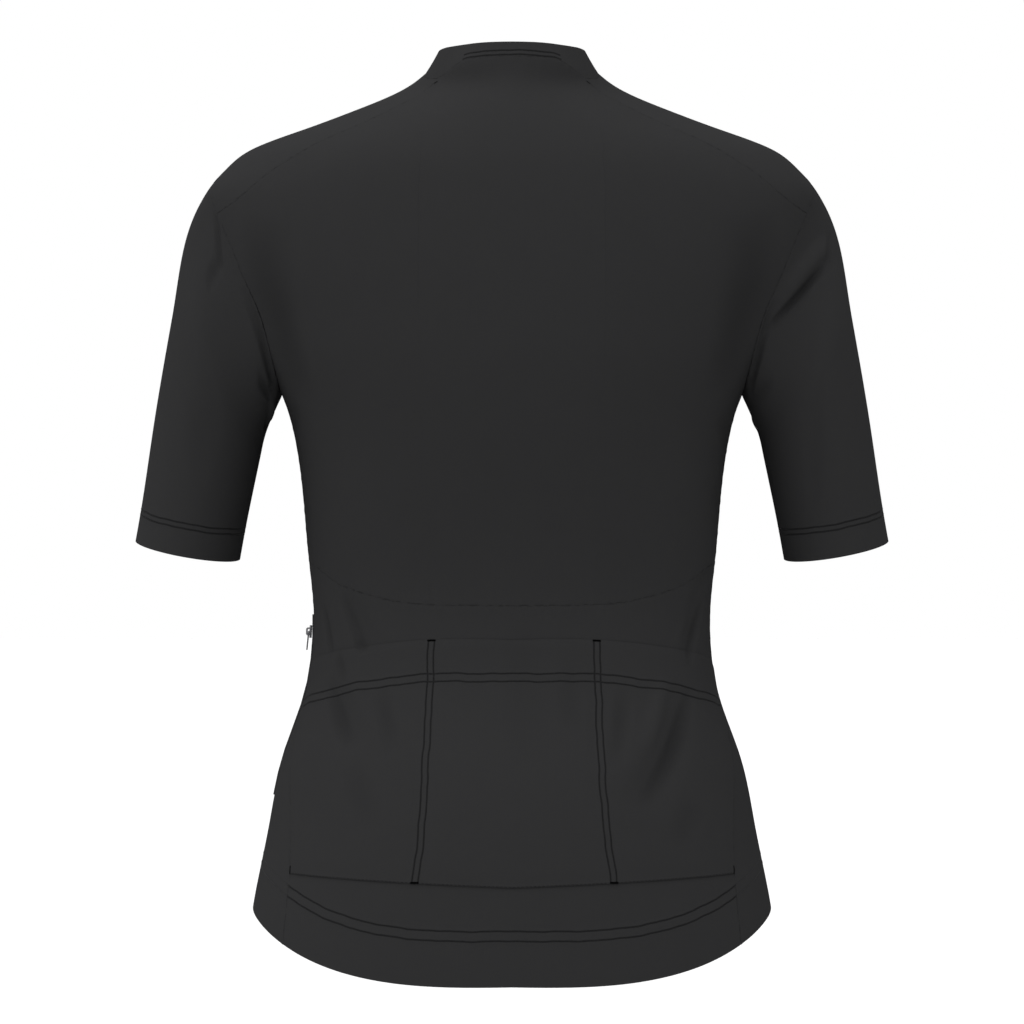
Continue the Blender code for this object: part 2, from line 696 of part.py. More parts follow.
def sleeve_grid(clock):
    """Outer points and normals of the left sleeve, a row for each cell down it."""
    down, _, _ = sleeve_frame()
    spot, leave, first_normal = sleeve_start(clock)
    inside = (1.0 - np.cos(clock)) / 2.0
    foot_up = CAP_FOOT_OUTSIDE + (CAP_FOOT_INSIDE - CAP_FOOT_OUTSIDE) * inside
    foot = sleeve_tube(clock, foot_up)
    span = CAP_PULL * np.linalg.norm(foot - spot, axis=-1)[..., None]
    handle = spot + span * leave
    landing = foot - span * down
    rows = []
    for part in np.linspace(0.0, 1.0, CELLS_CAP + 1):
        rest = 1.0 - part
        cap = rest**3 * spot + 3.0 * rest**2 * part * handle
        rows.append(cap + 3.0 * rest * part**2 * landing + part**3 * foot)
    for part in np.linspace(0.0, 1.0, CELLS_SLEEVE + 1)[1:]:
        rows.append(sleeve_tube(clock, foot_up * (1.0 - part)))
    points = np.array(rows)
    downward = np.gradient(points, axis=0)
    ring = np.concatenate([points[:, -2:-1], points, points[:, 1:2]], axis=1)
    around = ring[:, :-2] - ring[:, 2:]
    normals = unit(np.cross(downward, around))
    normals[0] = first_normal
    return points, normals


def add_sleeves(seams):
    """Both sleeves: closed tubes from the armholes to the cuffs."""
    clock = np.concatenate([seams.clock_back[::-1], seams.clock_front[1:]])
    points, normals = sleeve_grid(clock)
    outer = pull_back(points, (True, False), (False, False))
    outer[:, -1] = outer[:, 0]
    normals[:, -1] = normals[:, 0]
    inner = outer - CLOTH * normals
    flip = np.array([-1.0, 1.0, 1.0])
    cloth_wall("sleeve_left", outer, inner, KNIT, closed=True)
    cloth_wall("sleeve_right", outer * flip, inner * flip, KNIT, closed=True)


def collar_grid(places):
    """Outer points of the collar over the given places of the neck seam, from top to foot."""
    foot = body_point(places[:, 0], places[:, 1])
    level, lean = np.moveaxis(COLLAR_CURVE.at(np.abs(places[:, 0])), -1, 0)
    inward = unit(foot * np.array([-1.0, -1.0, 0.0]))
    inward[:, 0] *= 1.0 - np.clip(-np.cos(places[:, 0]), 0.0, 1.0) ** COLLAR_END_SQUARENESS
    top = foot + lean[:, None] * inward
    top[:, 2] = level
    parts = np.linspace(0.0, 1.0, CELLS_COLLAR + 1)[:, None, None]
    return (1.0 - parts) * top[None] + parts * foot[None]


def grid_normals(points):
    """Outward normals of a grid whose columns run from the wearer's right to left, as seen behind."""
    downward = np.gradient(points, axis=0)
    across = np.gradient(points, axis=1)
    return unit(np.cross(across, downward))


def add_collar(seams):
    """The collar: one band from the zip round the neck to the zip."""
    places = joined(mirrored(seams.neck_front)[::-1], seams.neck_back, seams.neck_front)
    points = collar_grid(places)
    normals = grid_normals(points)
    normals[:, (0, -1), 0] = 0.0
    normals = unit(normals)
    outer = pull_back(points, (False, True), (True, True))
    cloth_wall("collar", outer, outer - COLLAR_CLOTH * normals, KNIT)


# ------------------------------------------------------------------ panels
def add_back(seams):
    """The upper back, the tail below it and the pocket piece that lies on the tail."""
    left = joined(seams.armhole_back, seams.side_upper)
    top = joined(mirrored(seams.shoulder)[::-1], seams.neck_back, seams.shoulder)
    grid = relaxed(patch(top, seams.waist, mirrored(left), left))
    torso_panel("back_panel", grid, KNIT, (True, True), (True, True))

    bands = (
        (seams.waist, seams.pocket_top, seams.side_waist),
        (seams.pocket_top, seams.pocket_foot, seams.side_pocket),
        (seams.pocket_foot, seams.hem_back, seams.side_foot),
    )
    grids = [patch(upper, lower, mirrored(side), side) for upper, lower, side in bands]
    tail = np.concatenate([grids[0], grids[1][1:], grids[2][1:]])
    torso_panel("back_tail", tail, KNIT, (True, False), (True, True))
    torso_panel("pocket_panel", grids[1], KNIT_DEEP, (False, False), (True, True), SEAM_GAP + CLOTH)


def front_grid(seams):
    """Turns and levels of the left front, from the shoulder seam to the hem."""
    side = joined(
        seams.armhole_front, seams.side_upper, seams.side_waist, seams.side_pocket, seams.side_foot
    )
    centre = joined(seams.neck_front, seams.centre)
    return relaxed(patch(seams.shoulder[::-1], seams.hem_front, side, centre))


def add_fronts(seams):
    """Both fronts, over the shoulders and round the sides to the back."""
    grid = front_grid(seams)
    torso_panel("front_left", grid, KNIT, (True, False), (True, True))
    torso_panel("front_right", mirrored(grid), KNIT, (True, False), (True, True))


# ------------------------------------------------------------------ zips
def strip_rings(path, sideways, normals, half_tape, half_chain, thickness, rise):
    """Rings of a zip strip: a flat tape with the closed chain standing along its middle."""
    outline = (
        (-half_tape, 0.0),
        (-half_chain, 0.0),
        (-half_chain, rise),
        (half_chain, rise),
        (half_chain, 0.0),
        (half_tape, 0.0),
        (half_tape, -thickness),
        (-half_tape, -thickness),
    )
    return [path + across * sideways + out * normals for across, out in outline]


def add_front_zip(seams):
    """The strip between the fronts and the collar's ends, from the hem to the collar's top."""
    half = FRONT_TAPE_WIDTH / 2.0
    centre_levels = seams.centre[:, 1]
    body = body_point(np.full(len(centre_levels), math.pi), centre_levels)
    collar = collar_grid(seams.neck_front[-2:])[:, -1] * np.array([0.0, 1.0, 1.0])
    path = np.concatenate([collar[:-1], body])
    sideways = np.tile([1.0, 0.0, 0.0], (len(path), 1))
    normals = unit(np.cross(np.gradient(path, axis=0), sideways))
    rings = strip_rings(
        path,
        sideways,
        normals,
        half - SEAM_GAP / 2.0,
        FRONT_CHAIN_WIDTH / 2.0,
        CLOTH,
        FRONT_CHAIN_RISE,
    )
    swept("front_zip", np.stack(rings, 1), TAPE)
    return path, normals


def add_side_zip():
    """The short zip at the wearer's left waist, laid on the front."""
    levels = np.linspace(SIDE_ZIP_TOP, SIDE_ZIP_FOOT, CELLS_SIDE_ZIP + 1)
    turns = np.full(len(levels), math.radians(SIDE_ZIP_TURN))
    normals = body_normal(turns, levels)
    path = body_point(turns, levels) + (SEAM_GAP + SIDE_TAPE_THICKNESS) * normals
    sideways = unit(np.cross(np.gradient(path, axis=0), normals))
    rings = strip_rings(
        path,
        sideways,
        normals,
        SIDE_TAPE_WIDTH / 2.0,
        SIDE_CHAIN_WIDTH / 2.0,
        SIDE_TAPE_THICKNESS,
        SIDE_CHAIN_RISE,
    )
    swept("side_zip", np.stack(rings, 1), TAPE)
    return path, normals


def slab(outline, low, high):
    """A bmesh slab over an outline in the XY plane, between two heights."""
    made = bmesh.new()
    face = made.faces.new([made.verts.new((x, y, low)) for x, y in outline])
    grown = bmesh.ops.extrude_face_region(made, geom=[face])
    raised = [item for item in grown["geom"] if isinstance(item, bmesh.types.BMVert)]
    bmesh.ops.translate(made, vec=(0.0, 0.0, high - low), verts=raised)
    return made


def slider_body():
    """The slider's plate, wider at its top where the two halves of the zip part."""
    top, foot, half = SLIDER_HALF_TOP, SLIDER_HALF_FOOT, SLIDER_HALF_LENGTH
    outline = (
        (-foot, -half),
        (foot, -half),
        (top, 0.2 * half),
        (top, 0.8 * half),
        (0.8 * top, half),
        (-0.8 * top, half),
        (-top, 0.8 * half),
        (-top, 0.2 * half),
    )
    return slab(outline, 0.0, SLIDER_THICKNESS)


def slider_bridge():
    """The bridge over the slider that holds the pull: an arch drawn from the side."""
    half, height, bar = BRIDGE_HALF_LENGTH, BRIDGE_HEIGHT, BRIDGE_BAR
    chamfer = 0.4 * bar
    outline = (
        (-half, -BRIDGE_ROOT),
        (-half, height - 2.0 * chamfer),
        (-half + 2.0 * chamfer, height),
        (half - 2.0 * chamfer, height),
        (half, height - 2.0 * chamfer),
        (half, -BRIDGE_ROOT),
        (half - bar, -BRIDGE_ROOT),
        (half - bar, height - bar - chamfer),
        (half - bar - chamfer, height - bar),
        (-half + bar + chamfer, height - bar),
        (-half + bar, height - bar - chamfer),
        (-half + bar, -BRIDGE_ROOT),
    )
    made = slab(outline, -BRIDGE_HALF_WIDTH, BRIDGE_HALF_WIDTH)
    turn = Matrix(((0.0, 0.0, 1.0), (1.0, 0.0, 0.0), (0.0, 1.0, 0.0)))
    bmesh.ops.transform(made, matrix=turn.to_4x4(), verts=made.verts[:])
    bmesh.ops.translate(made, vec=(0.0, 0.0, SLIDER_THICKNESS), verts=made.verts[:])
    return made


def pull_tab():
    """The pull, hanging down from the hinge axis at its origin, with the eye that rounds the bridge."""
    half_bar = PULL_THICKNESS / 2.0
    wide, narrow, end = PULL_HALF_WIDTH, PULL_EYE_HALF_WIDTH, PULL_END_HALF_WIDTH
    foot = half_bar - PULL_LENGTH
    eye_foot = -half_bar - PULL_EYE_LENGTH
    outer = ((-wide, half_bar), (wide, half_bar), (end, 0.8 * foot), (0.6 * end, foot))
    outer = outer + ((-0.6 * end, foot), (-end, 0.8 * foot))
    inner = ((-narrow, -half_bar), (narrow, -half_bar), (narrow, 0.9 * eye_foot), (0.7 * narrow, eye_foot))
    inner = inner + ((-0.7 * narrow, eye_foot), (-narrow, 0.9 * eye_foot))
    made = bmesh.new()
    outside = [made.verts.new((x, y, -half_bar)) for x, y in outer]
    inside = [made.verts.new((x, y, -half_bar)) for x, y in inner]
    count = len(outer)
    for i in range(count):
        after = (i + 1) % count
        made.faces.new((outside[i], outside[after], inside[after], inside[i]))
    grown = bmesh.ops.extrude_face_region(made, geom=made.faces[:])
    raised = [item for item in grown["geom"] if isinstance(item, bmesh.types.BMVert)]
    bmesh.ops.translate(made, vec=(0.0, 0.0, PULL_THICKNESS), verts=raised)
    return made


def zip_place(path, normals, below_top, rise):
    """Axes and origin of a slider: a distance down the zip, just off the face of its chain."""
    along = np.concatenate([[0.0], np.cumsum(np.linalg.norm(np.diff(path, axis=0), axis=1))])
    slopes = unit(-np.gradient(path, axis=0))
    point, up, out = (
        np.array([np.interp(below_top, along, values[:, axis]) for axis in range(3)])
        for values in (path, slopes, normals)
    )
    out = out - out.dot(up) / up.dot(up) * up
    out = out / np.linalg.norm(out)
    up = up / np.linalg.norm(up)
    axes = Matrix(np.stack([np.cross(up, out), up, out], 1).tolist())
    return axes, point + (rise + SEAM_GAP) * out


def place_slider(name, zip_line, below_top, rise, scale, tilt):
    """A slider with its bridge, and its pull hinged under the bridge."""
    axes, origin = zip_place(*zip_line, below_top, rise)
    body, bridge = slider_body(), slider_bridge()
    for piece in (body, bridge):
        bmesh.ops.transform(piece, matrix=(axes * scale).to_4x4(), verts=piece.verts[:])
        bmesh.ops.translate(piece, vec=origin, verts=piece.verts[:])
    slider = add_object(name + "_slider", body, METAL)
    guide = add_object(name + "_bridge_guide", bridge, METAL)
    guide.hide_render = True
    guide.display_type = "WIRE"
    join = slider.modifiers.new("bridge", "BOOLEAN")
    join.operation = "UNION"
    join.solver = "EXACT"
    join.object = guide

    hinge = origin + scale * (SLIDER_THICKNESS + PULL_AXIS_HEIGHT) * np.array(axes.col[2])
    pull = pull_tab()
    leaning = axes @ Matrix.Rotation(-tilt, 3, "X")
    bmesh.ops.transform(pull, matrix=(leaning * scale).to_4x4(), verts=pull.verts[:])
    bmesh.ops.translate(pull, vec=hinge, verts=pull.verts[:])
    add_object(name + "_pull", pull, METAL, hinge)


def main():
    """Builds every piece."""
    for thing in list(bpy.data.objects):
        bpy.data.objects.remove(thing, do_unlink=True)
    seams = cut_seams()
    add_back(seams)
    add_fronts(seams)
    add_sleeves(seams)
    add_collar(seams)
    front_zip = add_front_zip(seams)
    side_zip = add_side_zip()
    place_slider(
        "front_zip", front_zip, FRONT_SLIDER_BELOW_TOP, FRONT_CHAIN_RISE, FRONT_ZIP_SCALE, FRONT_PULL_TILT
    )
    place_slider("side_zip", side_zip, SIDE_SLIDER_BELOW_TOP, SIDE_CHAIN_RISE, SIDE_ZIP_SCALE, SIDE_PULL_TILT)


main()
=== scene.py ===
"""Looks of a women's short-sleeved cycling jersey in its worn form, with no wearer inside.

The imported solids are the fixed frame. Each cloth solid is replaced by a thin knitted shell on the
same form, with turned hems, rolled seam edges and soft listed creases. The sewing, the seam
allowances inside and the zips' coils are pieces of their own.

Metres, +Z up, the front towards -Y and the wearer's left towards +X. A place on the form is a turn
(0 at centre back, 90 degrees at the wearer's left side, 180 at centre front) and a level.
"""

from __future__ import annotations

import logging
import math
from dataclasses import dataclass, field, replace
from enum import Enum
from typing import Iterable, NamedTuple, Optional, Sequence, Union

import bmesh
import bpy
import numpy as np
from mathutils import Matrix, Vector
from mathutils.bvhtree import BVHTree
from mathutils.kdtree import KDTree


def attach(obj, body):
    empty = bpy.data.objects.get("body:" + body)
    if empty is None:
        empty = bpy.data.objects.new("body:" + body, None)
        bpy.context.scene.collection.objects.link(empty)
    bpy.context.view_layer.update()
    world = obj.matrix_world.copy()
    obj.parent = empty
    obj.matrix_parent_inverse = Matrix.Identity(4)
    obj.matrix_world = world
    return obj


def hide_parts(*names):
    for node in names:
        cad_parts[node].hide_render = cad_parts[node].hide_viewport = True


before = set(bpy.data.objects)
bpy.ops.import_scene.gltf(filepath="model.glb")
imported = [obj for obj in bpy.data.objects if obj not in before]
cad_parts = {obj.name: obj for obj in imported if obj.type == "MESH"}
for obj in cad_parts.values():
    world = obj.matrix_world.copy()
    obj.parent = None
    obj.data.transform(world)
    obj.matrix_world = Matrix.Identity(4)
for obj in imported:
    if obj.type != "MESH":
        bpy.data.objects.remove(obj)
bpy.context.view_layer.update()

LOG = logging.getLogger("jersey")
Array = np.ndarray

GARMENT = "garment"
SEAM_GAP = 0.0003  # clear space between two of the solids at their seam
SEWN_GAP = 0.00004  # between two cloth panels, which the overlock holds edge to edge
FINENESS = 6  # fine cells in each of the solids' cells
CLOSE_STATIONS = (0.035, 0.080)  # extra stations beside a panel's edges, in the solids' cells
DENSE = 480  # places that a seam's length is measured on
EDGE_POINTS = 900  # points on an edge that distances are measured from
CLOSE_SET = 1500  # the same for a long line
ENDS = ((0, 1), (-1, -2))  # a line's two ends, each with the point beside it
RELAX_ROUNDS = 500
RELAX_SHARE = 0.7  # of the way to the middle of its neighbours, in each round
TURN_STEP = 0.002  # radians, for slopes round the form
LEVEL_STEP = 0.0005
MIRROR = np.array([-1.0, 1.0])  # a place on the wearer's other side
MILLIMETRES = 1000.0
FAR = 1.0  # a distance in metres that nothing on the jersey is from its seam
SHARP = math.radians(20.0)  # between faces whose edge is rounded


# ------------------------------------------------------------------ small geometry
def unit(vectors: Array) -> Array:
    """Vectors brought to length 1."""
    return vectors / np.maximum(np.linalg.norm(vectors, axis=-1, keepdims=True), 1e-12)


def run_length(points: Array) -> Array:
    """Length along a line of points, from 0 at its first."""
    return np.concatenate([[0.0], np.cumsum(np.linalg.norm(np.diff(points, axis=0), axis=1))])


def both_ways(half: Array) -> Array:
    """Places from one side to the other, given from the middle to the wearer's left."""
    return np.concatenate([half[:0:-1] * MIRROR, half])


def smooth_step(value: Array, low: float, high: float) -> Array:
    """0 below low, 1 above high and a smooth rise between."""
    share = np.clip((value - low) / (high - low), 0.0, 1.0)
    return share * share * (3.0 - 2.0 * share)


def resampled(points: Array, count: int) -> Array:
    """A line of points divided into equal lengths.

    Args:
        points: The line, a row for each point.
        count: How many points to give back.

    Returns:
        The new points, first and last in place.
    """
    along = run_length(points)
    marks = np.linspace(0.0, along[-1], count)
    return np.stack([np.interp(marks, along, column) for column in points.T], -1)


class Curve:
    """A smooth curve through a few knots: a natural cubic spline of one or more columns."""

    def __init__(self, knots: Sequence[float], values: Sequence) -> None:
        """Solves the spline.

        Args:
            knots: Where the values stand, rising.
            values: One value, or one row of values, for each knot.
        """
        self.knots = np.asarray(knots, float)
        self.values = np.asarray(values, float).reshape(len(self.knots), -1)
        steps = np.diff(self.knots)
        count = len(self.knots)
        system = np.eye(count)
        pull = np.zeros_like(self.values)
        for i in range(1, count - 1):
            system[i, i - 1] = steps[i - 1]
            system[i, i] = 2.0 * (steps[i - 1] + steps[i])
            system[i, i + 1] = steps[i]
            after = (self.values[i + 1] - self.values[i]) / steps[i]
            before = (self.values[i] - self.values[i - 1]) / steps[i - 1]
            pull[i] = 6.0 * (after - before)
        self.bend = np.linalg.solve(system, pull)

    def at(self, where: Array) -> Array:
        """Values at the given places, held at the first and last knot outside them.

        Args:
            where: Places along the knots, of any shape.

        Returns:
            An array of the same shape with the columns last.
        """
        where = np.clip(np.asarray(where, float), self.knots[0], self.knots[-1])
        cell = np.clip(np.searchsorted(self.knots, where) - 1, 0, len(self.knots) - 2)
        step = (self.knots[cell + 1] - self.knots[cell])[..., None]
        part = (where - self.knots[cell])[..., None] / step
        rest = 1.0 - part
        found = rest * self.values[cell] + part * self.values[cell + 1]
        curve = (rest**3 - rest) * self.bend[cell] + (part**3 - part) * self.bend[cell + 1]
        return found + curve * step**2 / 6.0


# ------------------------------------------------------------------ the worn form
class Section(NamedTuple):
    """One level of the torso: its half width, its depths behind and before, and its roundness."""

    level: float
    half_width: float
    back: float
    front: float
    roundness: float


class Fold(NamedTuple):
    """A soft straight trough between two turns in degrees and levels; a ridge has a negative depth."""

    turn_from: float
    level_from: float
    turn_to: float
    level_to: float
    half_width: float
    depth: float


def pressed(folds: Iterable[Fold], radius: float, turn: Array, level: Array) -> Array:
    """How deep folds press the cloth in.

    Args:
        folds: The folds, each deepest halfway along and faded out at its ends and sides.
        radius: Of the form, for distances measured round it.
        turn: Turns in radians.
        level: Levels, or lengths down a sleeve, of the same shape.

    Returns:
        The depth at each place.
    """
    total = np.zeros_like(turn)
    for fold in folds:
        run_round = radius * math.radians(fold.turn_to - fold.turn_from)
        run_up = fold.level_to - fold.level_from
        length = math.hypot(run_round, run_up)
        round_about = radius * (turn - math.radians(fold.turn_from))
        upward = level - fold.level_from
        along = (round_about * run_round + upward * run_up) / length**2
        aside = (round_about * run_up - upward * run_round) / length / fold.half_width
        fade = np.clip(1.0 - (2.0 * along - 1.0) ** 2, 0.0, 1.0)
        total += fold.depth * fade * np.clip(1.0 - aside**2, 0.0, 1.0) ** 2
    return total


@dataclass
class BodyForm:
    """The torso of the worn jersey as one smooth form, with its largest folds and its fine creases."""

    sections: tuple[Section, ...] = (
        Section(0.020, 0.0460, 0.0600, 0.0220, 2.40),
        Section(0.005, 0.0588, 0.0625, 0.0290, 2.25),
        Section(-0.007, 0.0757, 0.0655, 0.0355, 1.75),
        Section(-0.021, 0.1075, 0.0745, 0.0430, 1.82),
        Section(-0.035, 0.1445, 0.0835, 0.0500, 1.95),
        Section(-0.049, 0.1810, 0.0905, 0.0575, 2.05),
        Section(-0.062, 0.1980, 0.0955, 0.0655, 2.15),
        Section(-0.077, 0.2105, 0.0990, 0.0750, 2.20),
        Section(-0.092, 0.2125, 0.1015, 0.0840, 2.25),
        Section(-0.115, 0.2080, 0.1040, 0.0970, 2.30),
        Section(-0.140, 0.2000, 0.1055, 0.1085, 2.30),
        Section(-0.165, 0.1870, 0.1055, 0.1185, 2.30),
        Section(-0.190, 0.1745, 0.1045, 0.1275, 2.30),
        Section(-0.222, 0.1585, 0.1000, 0.1350, 2.30),
        Section(-0.250, 0.1505, 0.0945, 0.1365, 2.25),
        Section(-0.290, 0.1450, 0.0850, 0.1310, 2.25),
        Section(-0.330, 0.1415, 0.0765, 0.1205, 2.20),
        Section(-0.365, 0.1380, 0.0725, 0.1110, 2.20),
        Section(-0.400, 0.1387, 0.0750, 0.1075, 2.20),
        Section(-0.430, 0.1445, 0.0840, 0.1080, 2.20),
        Section(-0.470, 0.1586, 0.1000, 0.1110, 2.20),
        Section(-0.520, 0.1692, 0.1125, 0.1135, 2.20),
        Section(-0.575, 0.1800, 0.1185, 0.1130, 2.20),
        Section(-0.640, 0.1860, 0.1210, 0.1120, 2.20),
    )
    folds: tuple[Fold, ...] = (
        Fold(-54.0, -0.418, -29.0, -0.505, 0.017, 0.0032),
        Fold(-40.0, -0.425, -22.0, -0.486, 0.018, -0.0014),
        Fold(-4.0, -0.375, -5.0, -0.478, 0.017, 0.0013),
        Fold(59.0, -0.412, 40.0, -0.462, 0.016, 0.0024),
        Fold(55.0, -0.352, 40.0, -0.402, 0.014, 0.0016),
        Fold(-66.0, -0.352, -54.0, -0.404, 0.015, 0.0020),
        Fold(104.0, -0.338, 142.0, -0.372, 0.016, 0.0022),
        Fold(-106.0, -0.350, -138.0, -0.362, 0.018, 0.0017),
        Fold(148.0, -0.405, 122.0, -0.470, 0.018, 0.0021),
        Fold(-156.0, -0.398, -131.0, -0.452, 0.016, 0.0026),
        Fold(112.0, -0.228, 141.0, -0.254, 0.017, 0.0018),
        Fold(-110.0, -0.232, -146.0, -0.246, 0.016, 0.0023),
    )
    creases: tuple[Fold, ...] = (
        Fold(-57.0, -0.420, -31.0, -0.500, 0.0072, 0.0030),
        Fold(-46.0, -0.412, -34.0, -0.462, 0.0090, -0.0013),
        Fold(-32.0, -0.420, -24.5, -0.474, 0.0072, 0.0017),
        Fold(-17.0, -0.398, -15.0, -0.452, 0.0090, 0.0008),
        Fold(-70.0, -0.360, -56.5, -0.406, 0.0054, 0.0024),
        Fold(-62.0, -0.362, -50.0, -0.399, 0.0080, -0.0009),
        Fold(-78.0, -0.338, -62.0, -0.352, 0.0070, 0.0009),
        Fold(-47.0, -0.496, -39.0, -0.528, 0.0120, 0.0010),
        Fold(68.5, -0.362, 60.0, -0.402, 0.0060, 0.0018),
        Fold(55.0, -0.358, 45.5, -0.396, 0.0058, 0.0015),
        Fold(50.0, -0.389, 43.5, -0.394, 0.0044, 0.0018),
        Fold(57.0, -0.396, 52.0, -0.415, 0.0060, 0.0015),
        Fold(60.0, -0.418, 43.0, -0.460, 0.0068, 0.0019),
        Fold(38.0, -0.418, 29.5, -0.464, 0.0080, 0.0014),
        Fold(41.0, -0.470, 33.0, -0.516, 0.0110, 0.0009),
        Fold(49.0, -0.100, 62.0, -0.226, 0.0220, 0.0028),
        Fold(-47.0, -0.096, -60.0, -0.222, 0.0230, 0.0030),
        Fold(82.0, -0.243, 66.0, -0.229, 0.0090, 0.0008),
        Fold(-81.0, -0.252, -63.0, -0.237, 0.0100, 0.0010),
        Fold(86.0, -0.292, 70.0, -0.302, 0.0100, 0.0006),
        Fold(-86.0, -0.300, -67.0, -0.288, 0.0110, 0.0007),
        Fold(98.0, -0.236, 118.0, -0.262, 0.0090, 0.0011),
        Fold(-98.0, -0.241, -121.0, -0.258, 0.0080, 0.0010),
        Fold(101.0, -0.372, 124.0, -0.391, 0.0080, 0.0009),
        Fold(-100.0, -0.366, -127.0, -0.384, 0.0090, 0.0011),
        Fold(163.0, -0.382, 147.0, -0.423, 0.0085, 0.0008),
        Fold(-168.0, -0.402, -152.0, -0.438, 0.0080, 0.0007),
        Fold(128.0, -0.118, 152.0, -0.166, 0.0140, 0.0008),
        Fold(-127.0, -0.126, -149.0, -0.158, 0.0120, 0.0009),
    )
    fold_radius: float = 0.125
    fold_share: float = 0.3  # of a large fold's depth that counts as a crease's, in the depth that sets the painted crease shade
    curve: Curve = field(init=False)

    def __post_init__(self) -> None:
        """Draws the smooth curve through the sections."""
        rising = self.sections[::-1]
        self.curve = Curve([row.level for row in rising], [row[1:] for row in rising])

    def point(self, turn: Array, level: Array) -> Array:
        """Points on the outside of the solids' cloth.

        Args:
            turn: Turns in radians.
            level: Levels, of the same shape.

        Returns:
            The points, with their three coordinates last.
        """
        half_width, back, front, power = np.moveaxis(self.curve.at(level), -1, 0)
        side = np.sin(turn)
        behind = np.cos(turn)
        depth = np.where(behind >= 0.0, back, front)
        reach = (np.abs(side) ** power + np.abs(behind) ** power) ** (-1.0 / power)
        out, away = half_width * reach * side, depth * reach * behind
        shrink = 1.0 - pressed(self.folds, self.fold_radius, turn, level) / np.hypot(out, away)
        return np.stack([out * shrink, away * shrink, level], -1)

    def normal(self, turn: Array, level: Array) -> Array:
        """Outward normals of the form."""
        round_about, upward = self.slopes(turn, level)
        return unit(np.cross(upward, round_about))

    def slopes(self, turn: Array, level: Array) -> tuple[Array, Array]:
        """How far the form goes over a small step round it, and over one up it."""
        round_about = self.point(turn + TURN_STEP, level) - self.point(turn - TURN_STEP, level)
        return round_about, self.point(turn, level + LEVEL_STEP) - self.point(turn, level - LEVEL_STEP)

    def worn(self, places: Array, lift: Union[float, Array] = 0.0) -> Array:
        """Points on the outside of the fine cloth, with its creases.

        Args:
            places: Turns and levels, last.
            lift: How far the cloth stands off the form.

        Returns:
            The points.
        """
        turn, level = places[..., 0], places[..., 1]
        out = lift - pressed(self.creases, self.fold_radius, turn, level)
        return self.point(turn, level) + np.asarray(out)[..., None] * self.normal(turn, level)

    def hollow(self, places: Array) -> Array:
        """How deep the cloth lies in its creases, and a little of its folds, in millimetres: the depth that
        the knit turns into painted shade in creases and painted light on ridges.
        """
        turn, level = places[..., 0], places[..., 1]
        fine = pressed(self.creases, self.fold_radius, turn, level)
        large = pressed(self.folds, self.fold_radius, turn, level)
        return MILLIMETRES * (fine + self.fold_share * large)

    def turn_of(self, out: Array, level: Array, facing: int) -> Array:
        """The turn of a point.

        Args:
            out: Its distance out from the centre plane.
            level: Its level.
            facing: 1 on the back, -1 on the front.

        Returns:
            The turn in radians, positive on the wearer's left.
        """
        half_width, _, _, power = np.moveaxis(self.curve.at(level), -1, 0)
        share = np.clip(out / half_width, 0.0, 1.0)
        return np.arctan2(share, facing * (1.0 - share**power) ** (1.0 / power))

    def line(self, places: Array) -> Array:
        """A smooth line through a few places, as many closely spaced ones."""
        along = run_length(self.point(*places.T))
        return Curve(along, places).at(np.linspace(0.0, along[-1], DENSE))


# ------------------------------------------------------------------ seams and panels' grids
class Place(NamedTuple):
    """A point of a seam, by its distance out from the centre plane and its level."""

    out: float
    level: float


class Turned(NamedTuple):
    """A point of a seam, by its turn in degrees and its level."""

    turn: float
    level: float


class Stretch(NamedTuple):
    """A run of seam as close-set places, their lengths along it, and the cells it is divided into."""

    line: Array
    along: Array
    cells: int


@dataclass(frozen=True)
class Edge:
    """A panel's edge: stretches of seam end to end, read in cells from its start."""

    stretches: tuple[Stretch, ...]

    @classmethod
    def cut(cls, form: BodyForm, line: Array, cells: int) -> Edge:
        """An edge of one stretch."""
        return cls((Stretch(line, run_length(form.point(*line.T)), cells),))

    @property
    def cells(self) -> int:
        """How many cells the edge has."""
        return sum(stretch.cells for stretch in self.stretches)

    def __add__(self, other: Edge) -> Edge:
        """This edge with another one after it."""
        return Edge(self.stretches + other.stretches)

    def reversed(self) -> Edge:
        """The same edge run from its other end."""
        back = [Stretch(s.line[::-1], s.along[-1] - s.along[::-1], s.cells) for s in self.stretches]
        return Edge(tuple(back[::-1]))

    def mirrored(self) -> Edge:
        """The same edge on the wearer's other side."""
        return Edge(tuple(Stretch(s.line * MIRROR, s.along, s.cells) for s in self.stretches))

    def beside(self, middle: Edge) -> Edge:
        """A middle edge with this one at its left end and its mirror image at its right end."""
        return self.mirrored().reversed() + middle + self

    def at(self, cell: Array) -> Array:
        """Places on the edge.

        Args:
            cell: How many cells along it each place lies.

        Returns:
            Turns and levels, a row for each place.
        """
        found = np.zeros((len(cell), 2))
        start = 0
        for stretch in self.stretches:
            share = (cell - start) / stretch.cells
            inside = (share >= -1e-9) & (share <= 1.0 + 1e-9)
            marks = share[inside] * stretch.along[-1]
            for axis in (0, 1):
                found[inside, axis] = np.interp(marks, stretch.along, stretch.line[:, axis])
            start += stretch.cells
        return found


def stations(cells: int) -> Array:
    """Cell counts of a fine grid's rows or columns, with closer ones beside both edges."""
    even = np.arange(cells * FINENESS + 1) / FINENESS
    close = np.array(CLOSE_STATIONS)
    return np.sort(np.concatenate([even, close, cells - close]))


